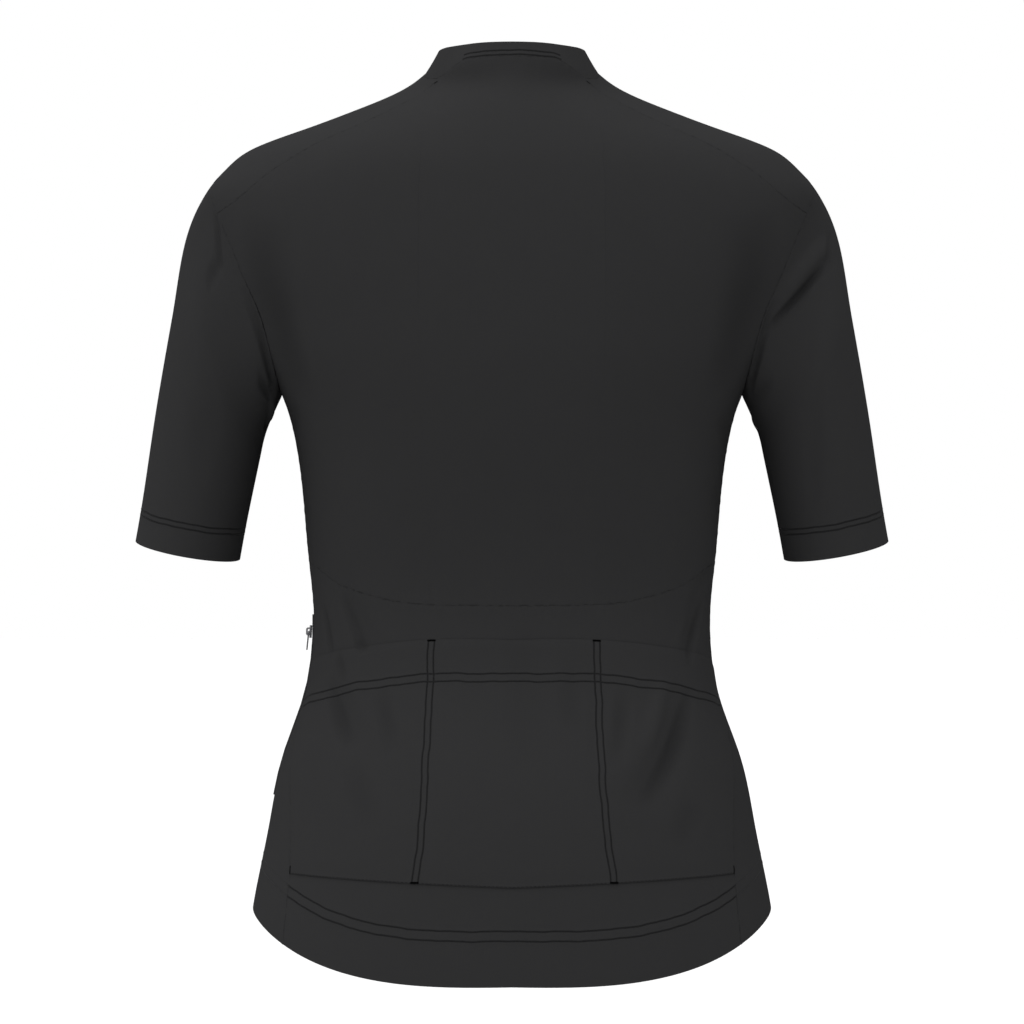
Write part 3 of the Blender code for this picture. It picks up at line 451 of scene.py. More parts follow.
@dataclass(frozen=True)
class PanelCut:
    """The four edges of a panel. top and foot run the same way; first and last run down it."""

    top: Edge
    foot: Edge
    first: Edge
    last: Edge

    def patch(self, sides: tuple[Array, Array, Array, Array], across: Array, down: Array) -> Array:
        """A grid between four lines of places.

        Args:
            sides: The places of top, foot, first and last.
            across: Shares of the way along top, from 0 to 1.
            down: Shares of the way down first.

        Returns:
            The grid, a row for each share down.
        """
        top, foot, first, last = sides
        across, down = across[None, :, None], down[:, None, None]
        between_sides = (1.0 - across) * first[:, None] + across * last[:, None]
        between_ends = (1.0 - down) * top[None] + down * foot[None]
        corners = (1.0 - down) * ((1.0 - across) * top[0] + across * top[-1])
        corners = corners + down * ((1.0 - across) * foot[0] + across * foot[-1])
        return between_sides + between_ends - corners

    def sides(self, rows: Array, columns: Array) -> tuple[Array, Array, Array, Array]:
        """The places of the four edges at a grid's rows and columns."""
        return self.top.at(columns), self.foot.at(columns), self.first.at(rows), self.last.at(rows)

    def plain(self, rows: Array, columns: Array) -> Array:
        """The grid at the given cell counts, straight between the edges."""
        return self.patch(self.sides(rows, columns), columns / columns[-1], rows / rows[-1])

    def fine(self, form: BodyForm, even: bool) -> Array:
        """The fine grid of the panel.

        Args:
            form: The form that it lies on.
            even: Whether its inner places are first spread evenly over the cloth.

        Returns:
            Turns and levels, a row for each station down the panel.
        """
        rows, columns = stations(self.first.cells), stations(self.top.cells)
        if not even:
            return self.plain(rows, columns)
        marks_down, marks_across = np.arange(self.first.cells + 1.0), np.arange(self.top.cells + 1.0)
        coarse = relaxed(form, self.plain(marks_down, marks_across))
        wide = Curve(marks_down, coarse.reshape(len(coarse), -1)).at(rows)
        wide = wide.reshape(len(rows), len(marks_across), 2).swapaxes(0, 1)
        grid = Curve(marks_across, wide.reshape(len(wide), -1)).at(columns)
        grid = grid.reshape(len(columns), len(rows), 2).swapaxes(0, 1)
        top, foot, first, last = self.sides(rows, columns)
        off = (top - grid[0], foot - grid[-1], first - grid[:, 0], last - grid[:, -1])
        return grid + self.patch(off, columns / columns[-1], rows / rows[-1])


def relaxed(form: BodyForm, grid: Array) -> Array:
    """The grid with its inner places spread evenly over the cloth, and its edges left as they are."""
    grid = grid.copy()
    for _ in range(RELAX_ROUNDS):
        spots = form.point(grid[..., 0], grid[..., 1])
        middle = (spots[:-2, 1:-1] + spots[2:, 1:-1] + spots[1:-1, :-2] + spots[1:-1, 2:]) / 4.0
        push = middle - spots[1:-1, 1:-1]
        turn, level = grid[1:-1, 1:-1, 0], grid[1:-1, 1:-1, 1]
        by_turn, by_level = form.slopes(turn, level)
        by_turn, by_level = by_turn / (2.0 * TURN_STEP), by_level / (2.0 * LEVEL_STEP)
        first = np.sum(by_turn * by_turn, -1)
        cross = np.sum(by_turn * by_level, -1)
        last = np.sum(by_level * by_level, -1)
        turn_push = np.sum(by_turn * push, -1)
        level_push = np.sum(by_level * push, -1)
        size = first * last - cross * cross
        grid[1:-1, 1:-1, 0] += RELAX_SHARE * (last * turn_push - cross * level_push) / size
        grid[1:-1, 1:-1, 1] += RELAX_SHARE * (first * level_push - cross * turn_push) / size
    return grid


@dataclass
class Pattern:
    """Every seam line of the jersey, and the panels' edges that they make."""

    form: BodyForm
    neck_back: tuple[Place, ...] = (
        Place(0.0000, 0.0105),
        Place(0.0200, 0.0100),
        Place(0.0350, 0.0075),
        Place(0.0450, 0.0010),
        Place(0.0515, -0.0030),
    )
    shoulder_seam: tuple[Place, ...] = (
        Place(0.0515, -0.0030),
        Place(0.0600, -0.0120),
        Place(0.0815, -0.0247),
        Place(0.1130, -0.0400),
        Place(0.1430, -0.0550),
        Place(0.1633, -0.0678),
        Place(0.1792, -0.0801),
        Place(0.1900, -0.0885),
    )
    waist_seam: tuple[Place, ...] = (
        Place(0.0000, -0.3640),
        Place(0.0490, -0.3635),
        Place(0.0740, -0.3620),
        Place(0.0940, -0.3580),
        Place(0.1080, -0.3540),
        Place(0.1200, -0.3490),
        Place(0.1310, -0.3410),
    )
    pocket_top: tuple[Place, ...] = (
        Place(0.0000, -0.3870),
        Place(0.0570, -0.3870),
        Place(0.0880, -0.3900),
        Place(0.1150, -0.3945),
        Place(0.1300, -0.3985),
    )
    pocket_foot: tuple[Place, ...] = (
        Place(0.0000, -0.5515),
        Place(0.0680, -0.5490),
        Place(0.1080, -0.5475),
    )
    neck_ridge: tuple[Place, ...] = (Place(0.0568, -0.0025), Place(0.0600, 0.0004))
    neck_ridge_level: float = 0.0034
    neck_front: tuple[Place, ...] = (
        Place(0.0602, -0.0014),
        Place(0.0577, -0.0110),
        Place(0.0500, -0.0250),
        Place(0.0420, -0.0370),
        Place(0.0310, -0.0490),
        Place(0.0180, -0.0580),
    )
    neck_zip_level: float = -0.0620
    side_seam: tuple[Turned, ...] = (
        Turned(90.0, -0.2190),
        Turned(89.5, -0.2800),
        Turned(89.0, -0.3340),
        Turned(87.5, -0.3720),
        Turned(83.5, -0.4050),
        Turned(77.0, -0.4400),
        Turned(65.0, -0.4900),
        Turned(57.5, -0.5460),
        Turned(56.0, -0.5940),
    )
    side_stops: tuple[float, ...] = (-0.2190, -0.3340, -0.4050, -0.5460, -0.5940)
    hem: tuple[Turned, ...] = (
        Turned(0.0, -0.6175),
        Turned(26.0, -0.6155),
        Turned(42.0, -0.6065),
        Turned(56.0, -0.5940),
        Turned(72.0, -0.5805),
        Turned(90.0, -0.5725),
        Turned(125.0, -0.5640),
        Turned(155.0, -0.5550),
        Turned(180.0, -0.5520),
    )
    armhole_level: float = -0.1455
    armhole_half_height: float = 0.0735
    armhole_back: float = 0.0500
    armhole_front: float = 0.0500
    seam_clock: float = 47.0  # degrees round the armhole from its top to the shoulder seam
    zip_gap: float = 0.0090  # between the two fronts' edges
    neck_back_cells: int = 10
    neck_front_cells: int = 10
    shoulder_cells: int = 11
    armhole_back_cells: int = 10
    armhole_front_cells: int = 12
    side_cells: tuple[int, ...] = (6, 3, 7, 3)
    edges: dict[str, Edge] = field(init=False)

    def __post_init__(self) -> None:
        """Cuts every seam."""
        edges = {
            "neck_back": self._across(self.placed(self.neck_back, 1), self.neck_back_cells),
            "armhole_back": self._armhole(180.0, self.armhole_back_cells),
            "armhole_front": self._armhole(-180.0, self.armhole_front_cells),
        }
        corner = edges["armhole_back"].at(np.zeros(1))
        edges["shoulder"] = self._edge(
            np.concatenate([self.placed(self.shoulder_seam, 1), corner]), self.shoulder_cells
        )
        edges["neck_front"] = self._edge(self._neck_front_places(), self.neck_front_cells)
        side = self.form.line(self._turned(self.side_seam))
        names = ("side_upper", "side_waist", "side_pocket", "side_foot")
        for i, name in enumerate(names):
            run = self._between(side, 1, *self.side_stops[i : i + 2])
            edges[name] = Edge.cut(self.form, run, self.side_cells[i])
        across = self.neck_back_cells + 2 * self.shoulder_cells
        for name, rows, below in (
            ("waist", self.waist_seam, "side_waist"),
            ("pocket_top", self.pocket_top, "side_pocket"),
            ("pocket_foot", self.pocket_foot, "side_foot"),
        ):
            end = edges[below].at(np.zeros(1))
            edges[name] = self._across(np.concatenate([self.placed(rows, 1), end]), across)
        self._add_hems(edges, across)
        edges["side"] = edges["side_upper"] + edges["side_waist"] + edges["side_pocket"] + edges["side_foot"]
        edges["neck"] = edges["neck_front"].beside(edges["neck_back"])
        edges["hem"] = edges["hem_front"].beside(edges["hem_back"])
        self.edges = edges

    def placed(self, rows: Sequence[Place], facing: int) -> Array:
        """Places given by their distance out, as turns and levels."""
        turns = [float(self.form.turn_of(row.out, row.level, facing)) for row in rows]
        return np.stack([turns, [row.level for row in rows]], -1)

    @staticmethod
    def _turned(rows: Sequence[Turned]) -> Array:
        """Places given by their turn in degrees, as turns and levels."""
        return np.array([[math.radians(row.turn), row.level] for row in rows])

    def _edge(self, places: Array, cells: int) -> Edge:
        """A smooth edge through a few places."""
        return Edge.cut(self.form, self.form.line(places), cells)

    def _across(self, places: Array, cells: int) -> Edge:
        """An edge across the back from one side to the other, given from its middle."""
        return Edge.cut(self.form, both_ways(self.form.line(places)), cells)

    @staticmethod
    def _between(line: Array, axis: int, start: float, stop: float) -> Array:
        """A stretch of a line.

        Args:
            line: Its turns and levels.
            axis: 0 where start and stop are turns, 1 where they are levels.
            start: Where the stretch starts.
            stop: Where it stops, further along the line.

        Returns:
            The stretch's turns and levels.
        """
        marks, sign = np.linspace(start, stop, DENSE), math.copysign(1.0, stop - start)
        others = np.interp(sign * marks, sign * line[:, axis], line[:, 1 - axis])
        return np.stack([marks, others] if axis == 0 else [others, marks], -1)

    def armhole_places(self, clock: Array) -> Array:
        """Places on the armhole.

        Args:
            clock: Angles in radians from the armhole's top, growing towards the back.

        Returns:
            Turns and levels, last.
        """
        level = self.armhole_level + self.armhole_half_height * np.cos(clock)
        depth = np.where(np.sin(clock) >= 0.0, self.armhole_back, self.armhole_front)
        reach = depth * np.sin(clock)
        _, back, front, power = np.moveaxis(self.form.curve.at(level), -1, 0)
        share = np.abs(reach) / np.where(reach >= 0.0, back, front)
        side = (1.0 - share**power) ** (1.0 / power)
        return np.stack([np.arctan2(side, np.sign(reach) * share), level], -1)

    def _armhole(self, stop: float, cells: int) -> Edge:
        """The armhole from the shoulder seam to its foot, behind or before."""
        clocks = np.radians(np.linspace(self.seam_clock, stop, DENSE))
        line = self.armhole_places(clocks)
        line[-1] = (math.pi / 2.0, self.armhole_level - self.armhole_half_height)
        return Edge.cut(self.form, line, cells)

    def _neck_front_places(self) -> Array:
        """The neck seam from the shoulder seam over the shoulder to the zip."""
        behind = self.placed(self.neck_back[-1:] + self.neck_ridge, 1)
        top = [[math.pi / 2.0, self.neck_ridge_level]]
        end = [[float(self._zip_turn(self.neck_zip_level)), self.neck_zip_level]]
        return np.concatenate([behind, top, self.placed(self.neck_front, -1), end])

    def _zip_turn(self, level: Array) -> Array:
        """The turn of the left front's edge at the zip."""
        return self.form.turn_of(self.zip_gap / 2.0, level, -1)

    def _add_hems(self, edges: dict[str, Edge], across: int) -> None:
        """Adds the back's and the front's hem, and the front's edge along the zip."""
        hem = self.form.line(self._turned(self.hem))
        side = edges["side_foot"].at(np.array([float(self.side_cells[3])]))[0]
        back = both_ways(self._between(hem, 0, 0.0, side[0]))
        edges["hem_back"] = Edge.cut(self.form, back, across)
        front = self._between(hem, 0, side[0], float(self._zip_turn(self.hem[-1].level)))
        edges["hem_front"] = Edge.cut(self.form, front, self.shoulder_cells)
        levels = np.linspace(self.neck_zip_level, front[-1, 1], DENSE)
        centre = np.stack([self._zip_turn(levels), levels], -1)
        down = self.armhole_front_cells + sum(self.side_cells) - self.neck_front_cells
        edges["centre"] = Edge.cut(self.form, centre, down)

    def back_panel(self) -> PanelCut:
        """The upper back."""
        e = self.edges
        left = e["armhole_back"] + e["side_upper"]
        return PanelCut(e["shoulder"].beside(e["neck_back"]), e["waist"], left.mirrored(), left)

    def back_tail(self) -> PanelCut:
        """The lower back, from the waist seam to the hem."""
        e = self.edges
        left = e["side_waist"] + e["side_pocket"] + e["side_foot"]
        return PanelCut(e["waist"], e["hem_back"], left.mirrored(), left)

    def pocket_panel(self) -> PanelCut:
        """The piece that lies on the tail."""
        e = self.edges
        return PanelCut(e["pocket_top"], e["pocket_foot"], e["side_pocket"].mirrored(), e["side_pocket"])

    def front_left(self) -> PanelCut:
        """The left front, from the shoulder seam to the hem."""
        e = self.edges
        side, centre = e["armhole_front"] + e["side"], e["neck_front"] + e["centre"]
        return PanelCut(e["shoulder"].reversed(), e["hem_front"], side, centre)


# ------------------------------------------------------------------ shader expressions
Operand = Union[float, "Signal"]
Colour = tuple[float, float, float]


class Signal:
    """A number in a node tree, which arithmetic on it extends."""

    def __init__(self, shader: Shader, socket: bpy.types.NodeSocket) -> None:
        """Wraps an output socket of a shader's tree."""
        self.shader = shader
        self.socket = socket

    def __add__(self, other: Operand) -> Signal:
        """This plus another."""
        return self.shader.math("ADD", self, other)

    __radd__ = __add__

    def __sub__(self, other: Operand) -> Signal:
        """This less another."""
        return self.shader.math("SUBTRACT", self, other)

    def __rsub__(self, other: Operand) -> Signal:
        """Another less this."""
        return self.shader.math("SUBTRACT", other, self)

    def __mul__(self, other: Operand) -> Signal:
        """This times another."""
        return self.shader.math("MULTIPLY", self, other)

    __rmul__ = __mul__

    def __truediv__(self, other: Operand) -> Signal:
        """This over another."""
        return self.shader.math("DIVIDE", self, other)

    def __abs__(self) -> Signal:
        """This without its sign."""
        return self.shader.math("ABSOLUTE", self)

    def fract(self) -> Signal:
        """The part of this past its whole number."""
        return self.shader.math("FRACT", self)

    def sine(self) -> Signal:
        """The sine of this."""
        return self.shader.math("SINE", self)

    def falls(self, low: float, high: float) -> Signal:
        """1 below low, 0 above high and smooth between."""
        sockets = {"Value": self, "From Min": low, "From Max": high, "To Min": 1.0, "To Max": 0.0}
        settings = {"interpolation_type": "SMOOTHSTEP"}
        return self.shader.signal("Result", "ShaderNodeMapRange", settings, sockets)


class Shader:
    """The node tree of a material or a world under construction: every node comes from its node method."""

    def __init__(self, owner: Union[bpy.types.Material, bpy.types.World]) -> None:
        """Starts with an empty tree."""
        owner.use_nodes = True
        self.owner = owner
        self.tree = owner.node_tree
        self.tree.nodes.clear()

    def node(
        self, kind: str, settings: Optional[dict] = None, sockets: Optional[dict] = None
    ) -> bpy.types.Node:
        """Adds a node.

        Args:
            kind: Its type.
            settings: Its properties, which are set first.
            sockets: Values or links of its inputs, by name or number.

        Returns:
            The node.
        """
        made = self.tree.nodes.new(kind)
        for name, value in (settings or {}).items():
            setattr(made, name, value)
        for name, value in (sockets or {}).items():
            value = value.socket if isinstance(value, Signal) else value
            if isinstance(value, bpy.types.NodeSocket):
                self.tree.links.new(value, made.inputs[name])
            else:
                made.inputs[name].default_value = value
        return made

    def signal(self, output: Union[int, str], kind: str, settings: Optional[dict], sockets: dict) -> Signal:
        """An output of a new node, as a number."""
        return Signal(self, self.node(kind, settings, sockets).outputs[output])

    def math(self, operation: str, *values: Operand) -> Signal:
        """One Math node over the given values."""
        return self.signal(0, "ShaderNodeMath", {"operation": operation}, dict(enumerate(values)))

    def cut(self) -> tuple[Signal, Signal, bpy.types.NodeSocket]:
        """Lengths across and down the cut piece, in metres, and the two as a vector."""
        place = self.node("ShaderNodeUVMap", {"uv_map": "cut"}).outputs["UV"]
        apart = self.node("ShaderNodeSeparateXYZ", None, {"Vector": place})
        return Signal(self, apart.outputs["X"]), Signal(self, apart.outputs["Y"]), place

    def attribute(self, name: str) -> Signal:
        """A number kept on the mesh's points."""
        return self.signal("Fac", "ShaderNodeAttribute", {"attribute_name": name}, {})

    def noise(self, place: bpy.types.NodeSocket, grains: float, detail: float = 2.0) -> Signal:
        """Noise from 0 to 1 with about so many grains to the metre."""
        sockets = {"Vector": place, "Scale": grains, "Detail": detail}
        return self.signal("Fac", "ShaderNodeTexNoise", None, sockets)

    def finish(
        self,
        light: Signal,
        colours: tuple[Colour, Colour],
        roughness: Operand,
        height: Signal,
        specular: float = 0.5,
        metallic: float = 0.0,
    ) -> bpy.types.Material:
        """Ends the tree in a Principled shader.

        Args:
            light: How far the base colour goes from the first of the colours to the second.
            colours: The darker colour and the lighter one.
            roughness: A number or a signal.
            height: The relief in metres.
            specular: The shader's specular level.
            metallic: The shader's metallic value.

        Returns:
            The material.
        """
        sockets = {"Factor": light, 6: (*colours[0], 1.0), 7: (*colours[1], 1.0)}
        colour = self.node("ShaderNodeMix", {"data_type": "RGBA"}, sockets).outputs[2]
        bump = self.node("ShaderNodeBump", None, {"Strength": 1.0, "Distance": 1.0, "Height": height})
        sockets = {
            "Base Color": colour,
            "Roughness": roughness,
            "Normal": bump.outputs["Normal"],
            "Specular IOR Level": specular,
            "Metallic": metallic,
        }
        surface = self.node("ShaderNodeBsdfPrincipled", None, sockets)
        self.node("ShaderNodeOutputMaterial", None, {"Surface": surface.outputs["BSDF"]})
        return self.owner


@dataclass(frozen=True)
class Needle:
    """A row of topstitching that a cloth shows as a fine groove with painted shade in it: one line, or two a
    gauge apart.
    """

    attribute: str
    gauge: float
    # share of the groove's depth and of its painted shade
    strength: float = 1.0


@dataclass(frozen=True)
class Knit:
    """Fine polyester jersey knit."""

    colours: tuple[Colour, Colour] = ((0.0075, 0.0075, 0.0078), (0.0219, 0.0219, 0.0224))
    wale: float = 0.00075
    course: float = 0.00062
    loop_height: float = 0.00007
    # the loops' crowns lighter and the gaps between them darker: painted shade that follows the loops' relief
    painted_loop_shade: float = 0.30  # shares of the way from the darker colour to the lighter one
    fibre_light: float = 0.22
    cloud_light: float = 0.06
    least_light: float = 0.59
    cloud_grains: float = 38.0
    cloud_height: float = 0.00012
    fibre_grains: float = 900.0
    roughness: float = 0.78
    fibre_roughness: float = 0.12
    # a stitching groove: its half width, its depth in the relief and its painted shade
    groove_half: float = 0.0010
    groove_depth: float = 0.00030
    groove_shade: float = 0.88
    # painted shade along a panel's seam edge, within seam_half of it
    seam_half: float = 0.0012
    seam_shade: float = 0.50
    seam_dash_grains: float = 210.0  # along a seam: noise that breaks the painted seam shade into dashes, which show only where it is high
    seam_dash_from: float = 0.48
    seam_dash_to: float = 0.60
    hollow_shade: float = 0.10  # painted shade for each millimetre of a crease's depth, and painted light on a ridge
    pucker_reach: float = 0.0075
    pucker_height: float = 0.00022
    pucker_grains: float = 260.0
    sewn_reach: float = 0.004
    sewn_grains: float = 300.0

    def material(self, name: str, needles: Sequence[Needle] = ()) -> bpy.types.Material:
        """The knit with its sewn grooves, and painted shade in its grooves, along its seams, in its creases
        and between its loops.

        Args:
            name: The material's name.
            needles: The rows of stitching whose distances the mesh holds.

        Returns:
            The material.
        """
        shader = Shader(bpy.data.materials.new(name))
        across, down, place = shader.cut()
        leg = abs((across / self.wale).fract() * 2.0 - 1.0)
        loop = 1.0 - abs((down / self.course + leg * 0.5).fract() * 2.0 - 1.0)
        knit = loop * (1.0 - leg * leg)
        cloud = shader.noise(place, self.cloud_grains, 3.0)
        fibre = shader.noise(place, self.fibre_grains)
        edge = shader.attribute("edge")
        ripple = shader.noise(place, self.pucker_grains, 1.0) * edge.falls(0.0, self.pucker_reach)
        height = knit * self.loop_height + ripple * self.pucker_height + cloud * self.cloud_height
        # painted shade along the seams, shown in dashes where the noise is high
        worn = 1.0 - shader.noise(place, self.seam_dash_grains).falls(self.seam_dash_from, self.seam_dash_to)
        groove = edge.falls(0.0, self.seam_half) * worn * self.seam_shade
        # painted shade in each row of stitching, where its groove lies
        for needle in needles:
            away, half = abs(shader.attribute(needle.attribute)), needle.gauge / 2.0
            row = abs(away - half).falls(0.0, self.groove_half)
            groove = shader.math("MAXIMUM", groove, row * needle.strength)
            sewn = away.falls(half, half + self.sewn_reach)
            height = height + shader.noise(place, self.sewn_grains, 1.0) * sewn * self.pucker_height
        height = height - groove * self.groove_depth
        # painted shade between the knit's loops, and random tone from cloud and fibre
        light = knit * self.painted_loop_shade + cloud * self.cloud_light + fibre * self.fibre_light
        # painted shade in the creases and painted light on the ridges, by the hollow's depth
        hollow = 1.0 - shader.attribute("hollow") * self.hollow_shade
        light = (light + self.least_light) * (1.0 - groove * self.groove_shade) * hollow
        light = shader.math("MINIMUM", light, 1.0)
        roughness = self.roughness + fibre * self.fibre_roughness
        return shader.finish(light, self.colours, roughness, height, specular=0.0)


@dataclass(frozen=True)
class Woven:
    """Woven tape or an overlocked edge: ribs run across it, by the lengths of its own cut."""

    colours: tuple[Colour, Colour]
    rib: float
    height: float
    slant: float
    # painted shade between the ribs: darker where the rib's relief is low
    painted_rib_shade: float = 0.6
    fibre_grains: float = 1200.0
    fibre_height: float = 0.00004
    roughness: float = 0.70
    fibre_roughness: float = 0.15

    def material(self, name: str) -> bpy.types.Material:
        """The woven material."""
        shader = Shader(bpy.data.materials.new(name))
        across, down, place = shader.cut()
        wave = ((down + abs(across) * self.slant) * (2.0 * math.pi / self.rib)).sine() * 0.5 + 0.5
        fibre = shader.noise(place, self.fibre_grains)
        # painted shade between the ribs, and random tone from the fibre
        light = wave * self.painted_rib_shade + fibre * (1.0 - self.painted_rib_shade)
        height = wave * self.height + fibre * self.fibre_height
        roughness = self.roughness + fibre * self.fibre_roughness
        return shader.finish(light, self.colours, roughness, height, specular=0.25)


@dataclass(frozen=True)
class Speckled:
    """A finish that wanders between two colours, rougher and prouder where it is lighter."""

    colours: tuple[Colour, Colour]
    grains: float
    roughness: float
    speckle_roughness: float  # 0 where the roughness is the same all over
    height: float
    specular: float = 0.5
    metallic: float = 0.0
    detail: float = 2.0
    fine_height: float = 0.0  # of a grain that is ten times as fine

    def material(self, name: str) -> bpy.types.Material:
        """The finish's material."""
        shader = Shader(bpy.data.materials.new(name))
        place = shader.node("ShaderNodeTexCoord").outputs["Object"]
        speckle = shader.noise(place, self.grains, self.detail)
        height = speckle * self.height
        if self.fine_height:
            height = shader.noise(place, 10.0 * self.grains) * self.fine_height + height
        roughness = self.roughness
        if self.speckle_roughness:
            roughness = roughness + speckle * self.speckle_roughness
        return shader.finish(
            speckle, self.colours, roughness, height, specular=self.specular, metallic=self.metallic
        )


THREAD = Speckled(((0.0058, 0.0058, 0.0060), (0.0115, 0.0115, 0.0118)), 2600.0, 0.45, 0.15, 0.00006, 0.02)
DENSE_THREAD = replace(THREAD, colours=((0.0008, 0.0008, 0.0008), (0.0022, 0.0022, 0.0023)), specular=0.0)
TONAL_THREAD = replace(THREAD, colours=((0.0165, 0.0165, 0.0169), (0.0215, 0.0215, 0.0220)))
COIL_NYLON = Speckled(((0.014, 0.014, 0.015), (0.024, 0.024, 0.025)), 700.0, 0.34, 0.14, 0.00003)
SATIN_METAL = Speckled(
    ((0.035, 0.035, 0.038), (0.17, 0.17, 0.18)), 520.0, 0.24, 0.22, 0.00004,
    metallic=1.0, detail=4.0, fine_height=0.00002,
)
PAPER = Speckled(((0.47, 0.47, 0.47), (0.50, 0.50, 0.50)), 1.3, 0.85, 0.0, 0.0005, 0.1)
ZIP_TAPE = Woven(((0.008, 0.008, 0.009), (0.016, 0.016, 0.017)), rib=0.0009, height=0.00012, slant=1.0)
OVERLOCK = Woven(((0.012, 0.012, 0.013), (0.022, 0.022, 0.023)), rib=0.0016, height=0.00030, slant=0.5)


class Slot(Enum):
    """The record's material slots."""

    KNIT = "knit"
    POCKET = "pocket_knit"
    TAPE = "tape"
    METAL = "metal"


# ------------------------------------------------------------------ pieces
def add_object(name: str, tool: bmesh.types.BMesh, material: bpy.types.Material) -> bpy.types.Object:
    """An object in the scene for a finished bmesh, which is freed."""
    mesh = bpy.data.meshes.new(name)
    tool.to_mesh(mesh)
    tool.free()
    mesh.materials.append(material)
    made = bpy.data.objects.new(name, mesh)
    bpy.context.scene.collection.objects.link(made)
    return made


def add_piece(
    name: str,
    tool: bmesh.types.BMesh,
    material: bpy.types.Material,
    body: str = GARMENT,
    replaces: Sequence[str] = (),
) -> bpy.types.Object:
    """An object of its own for a finished bmesh, riding on a body.

    Args:
        name: The piece's name.
        tool: Its mesh, which is freed.
        material: Its finish.
        body: The body that it moves with.
        replaces: Nodes that it stands for.

    Returns:
        The piece.
    """
    piece = add_object(name, tool, material)
    piece.data.shade_smooth()
    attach(piece, body)
    if replaces:
        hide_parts(*replaces)
    LOG.info("%s: %d faces", name, len(piece.data.polygons))
    return piece


def grid_mesh(points: Array, cut: Array, closed: bool = False) -> bmesh.types.BMesh:
    """An open sheet through a grid of points.

    Args:
        points: Rows and columns of points.
        cut: Lengths across and down the cut piece, kept as its UV map.
        closed: Whether the last column meets the first.

    Returns:
        The sheet, whose vertices keep their row and column in two layers.
    """
    rows, columns = points.shape[:2]
    sheet = bmesh.new()
    bmesh.ops.create_grid(sheet, x_segments=columns - 1, y_segments=rows - 1, size=1.0)
    row_of = sheet.verts.layers.int.new("row")
    column_of = sheet.verts.layers.int.new("column")
    for vertex in sheet.verts:
        row = round((1.0 - vertex.co.y) / 2.0 * (rows - 1))
        column = round((vertex.co.x + 1.0) / 2.0 * (columns - 1))
        vertex[row_of], vertex[column_of] = row, column
        vertex.co = points[row, column]
    layer = sheet.loops.layers.uv.new("cut")
    for face in sheet.faces:
        for loop in face.loops:
            loop[layer].uv = cut[loop.vert[row_of], loop.vert[column_of]]
    if closed:
        bmesh.ops.remove_doubles(sheet, verts=sheet.verts[:], dist=1e-6)
    return sheet


def cut_lengths(points: Array) -> Array:
    """Lengths across and down a grid of points, from its middle column and its first row."""
    across = np.zeros(points.shape[:2])
    across[:, 1:] = np.cumsum(np.linalg.norm(np.diff(points, axis=1), axis=-1), axis=1)
    across -= across[:, points.shape[1] // 2 : points.shape[1] // 2 + 1]
    down = np.zeros(points.shape[:2])
    down[1:] = np.cumsum(np.linalg.norm(np.diff(points, axis=0), axis=-1), axis=0)
    return np.stack([across, down], -1)


def grid_area(points: Array) -> float:
    """The area of a grid of points."""
    one = points[1:, 1:] - points[:-1, :-1]
    other = points[1:, :-1] - points[:-1, 1:]
    return float(np.linalg.norm(np.cross(one, other), axis=-1).sum() / 2.0)


def grid_normals(points: Array, outward: Array) -> Array:
    """Normals of a grid, turned to the side that outward points to at its middle."""
    normals = unit(np.cross(np.gradient(points, axis=1), np.gradient(points, axis=0)))
    return normals if float((normals * outward).sum()) >= 0.0 else -normals


def distances(points: Array, line: Array, normals: Optional[Array] = None) -> tuple[Array, Array]:
    """How far points lie from a line on the cloth.

    Args:
        points: A grid of points.
        line: Close-set points of the line.
        normals: The cloth's normals along the line. With them, distances to one side are negative.

    Returns:
        The distances, and how far along the line its nearest point is.
    """
    tree = KDTree(len(line))
    for i, spot in enumerate(line):
        tree.insert(spot, i)
    tree.balance()
    flat = points.reshape(-1, 3)
    nearest = np.array([tree.find(spot)[1] for spot in flat])
    tangent = unit(np.gradient(line, axis=0))
    offset = flat - line[nearest]
    forward = np.sum(offset * tangent[nearest], -1, keepdims=True)
    inner = (nearest > 0) & (nearest < len(line) - 1)
    aside = np.where(inner[:, None], offset - forward * tangent[nearest], offset)
    away = np.linalg.norm(aside, axis=-1)
    if normals is not None:
        side = np.cross(tangent, normals)[nearest]
        away = away * np.where(np.sum(aside * side, -1) >= 0.0, 1.0, -1.0)
    shape = points.shape[:2]
    return away.reshape(shape), run_length(line)[nearest].reshape(shape)


class Wave(NamedTuple):
    """A wave along a sewn line: its share of the height, its length over 2 pi and its phase's share."""

    share: float
    length: float
    phase: float


STRAY_HEIGHT = 0.00015
STRAY_WAVES = (Wave(1.0, 0.0062, 1.0), Wave(0.8, 0.0037, 2.3), Wave(0.5, 0.0019, 4.1))


def stray(along: Array, phase: float) -> Array:
    """How far a sewn line strays to one side, by the length along it."""
    waves = (wave.share * np.sin(along / wave.length + wave.phase * phase) for wave in STRAY_WAVES)
    return STRAY_HEIGHT * sum(waves)


def contour(points: Array, values: Array, value: float, down: bool) -> Array:
    """Where values on a grid cross a value.

    Args:
        points: The grid's points.
        values: A number at each.
        value: The one that is looked for.
        down: Whether to look down each column, or along each row.

    Returns:
        A line of points, one for each column or row that has such a place.
    """
    if not down:
        points, values = points.swapaxes(0, 1), values.T
    over, under = values[:-1] - value, values[1:] - value
    crosses = (over * under <= 0.0) & (over != under)
    columns = np.flatnonzero(crosses.any(axis=0))
    rows = crosses.argmax(axis=0)[columns]
    share = (over[rows, columns] / (over[rows, columns] - under[rows, columns]))[:, None]
    return (1.0 - share) * points[rows, columns] + share * points[rows + 1, columns]


def twin(points: Array, values: Array, gauge: float, down: bool = True) -> list[Array]:
    """Two lines a gauge apart, one to each side of where values on a grid are 0."""
    return [contour(points, values, side * gauge / 2.0, down) for side in (-1.0, 1.0)]


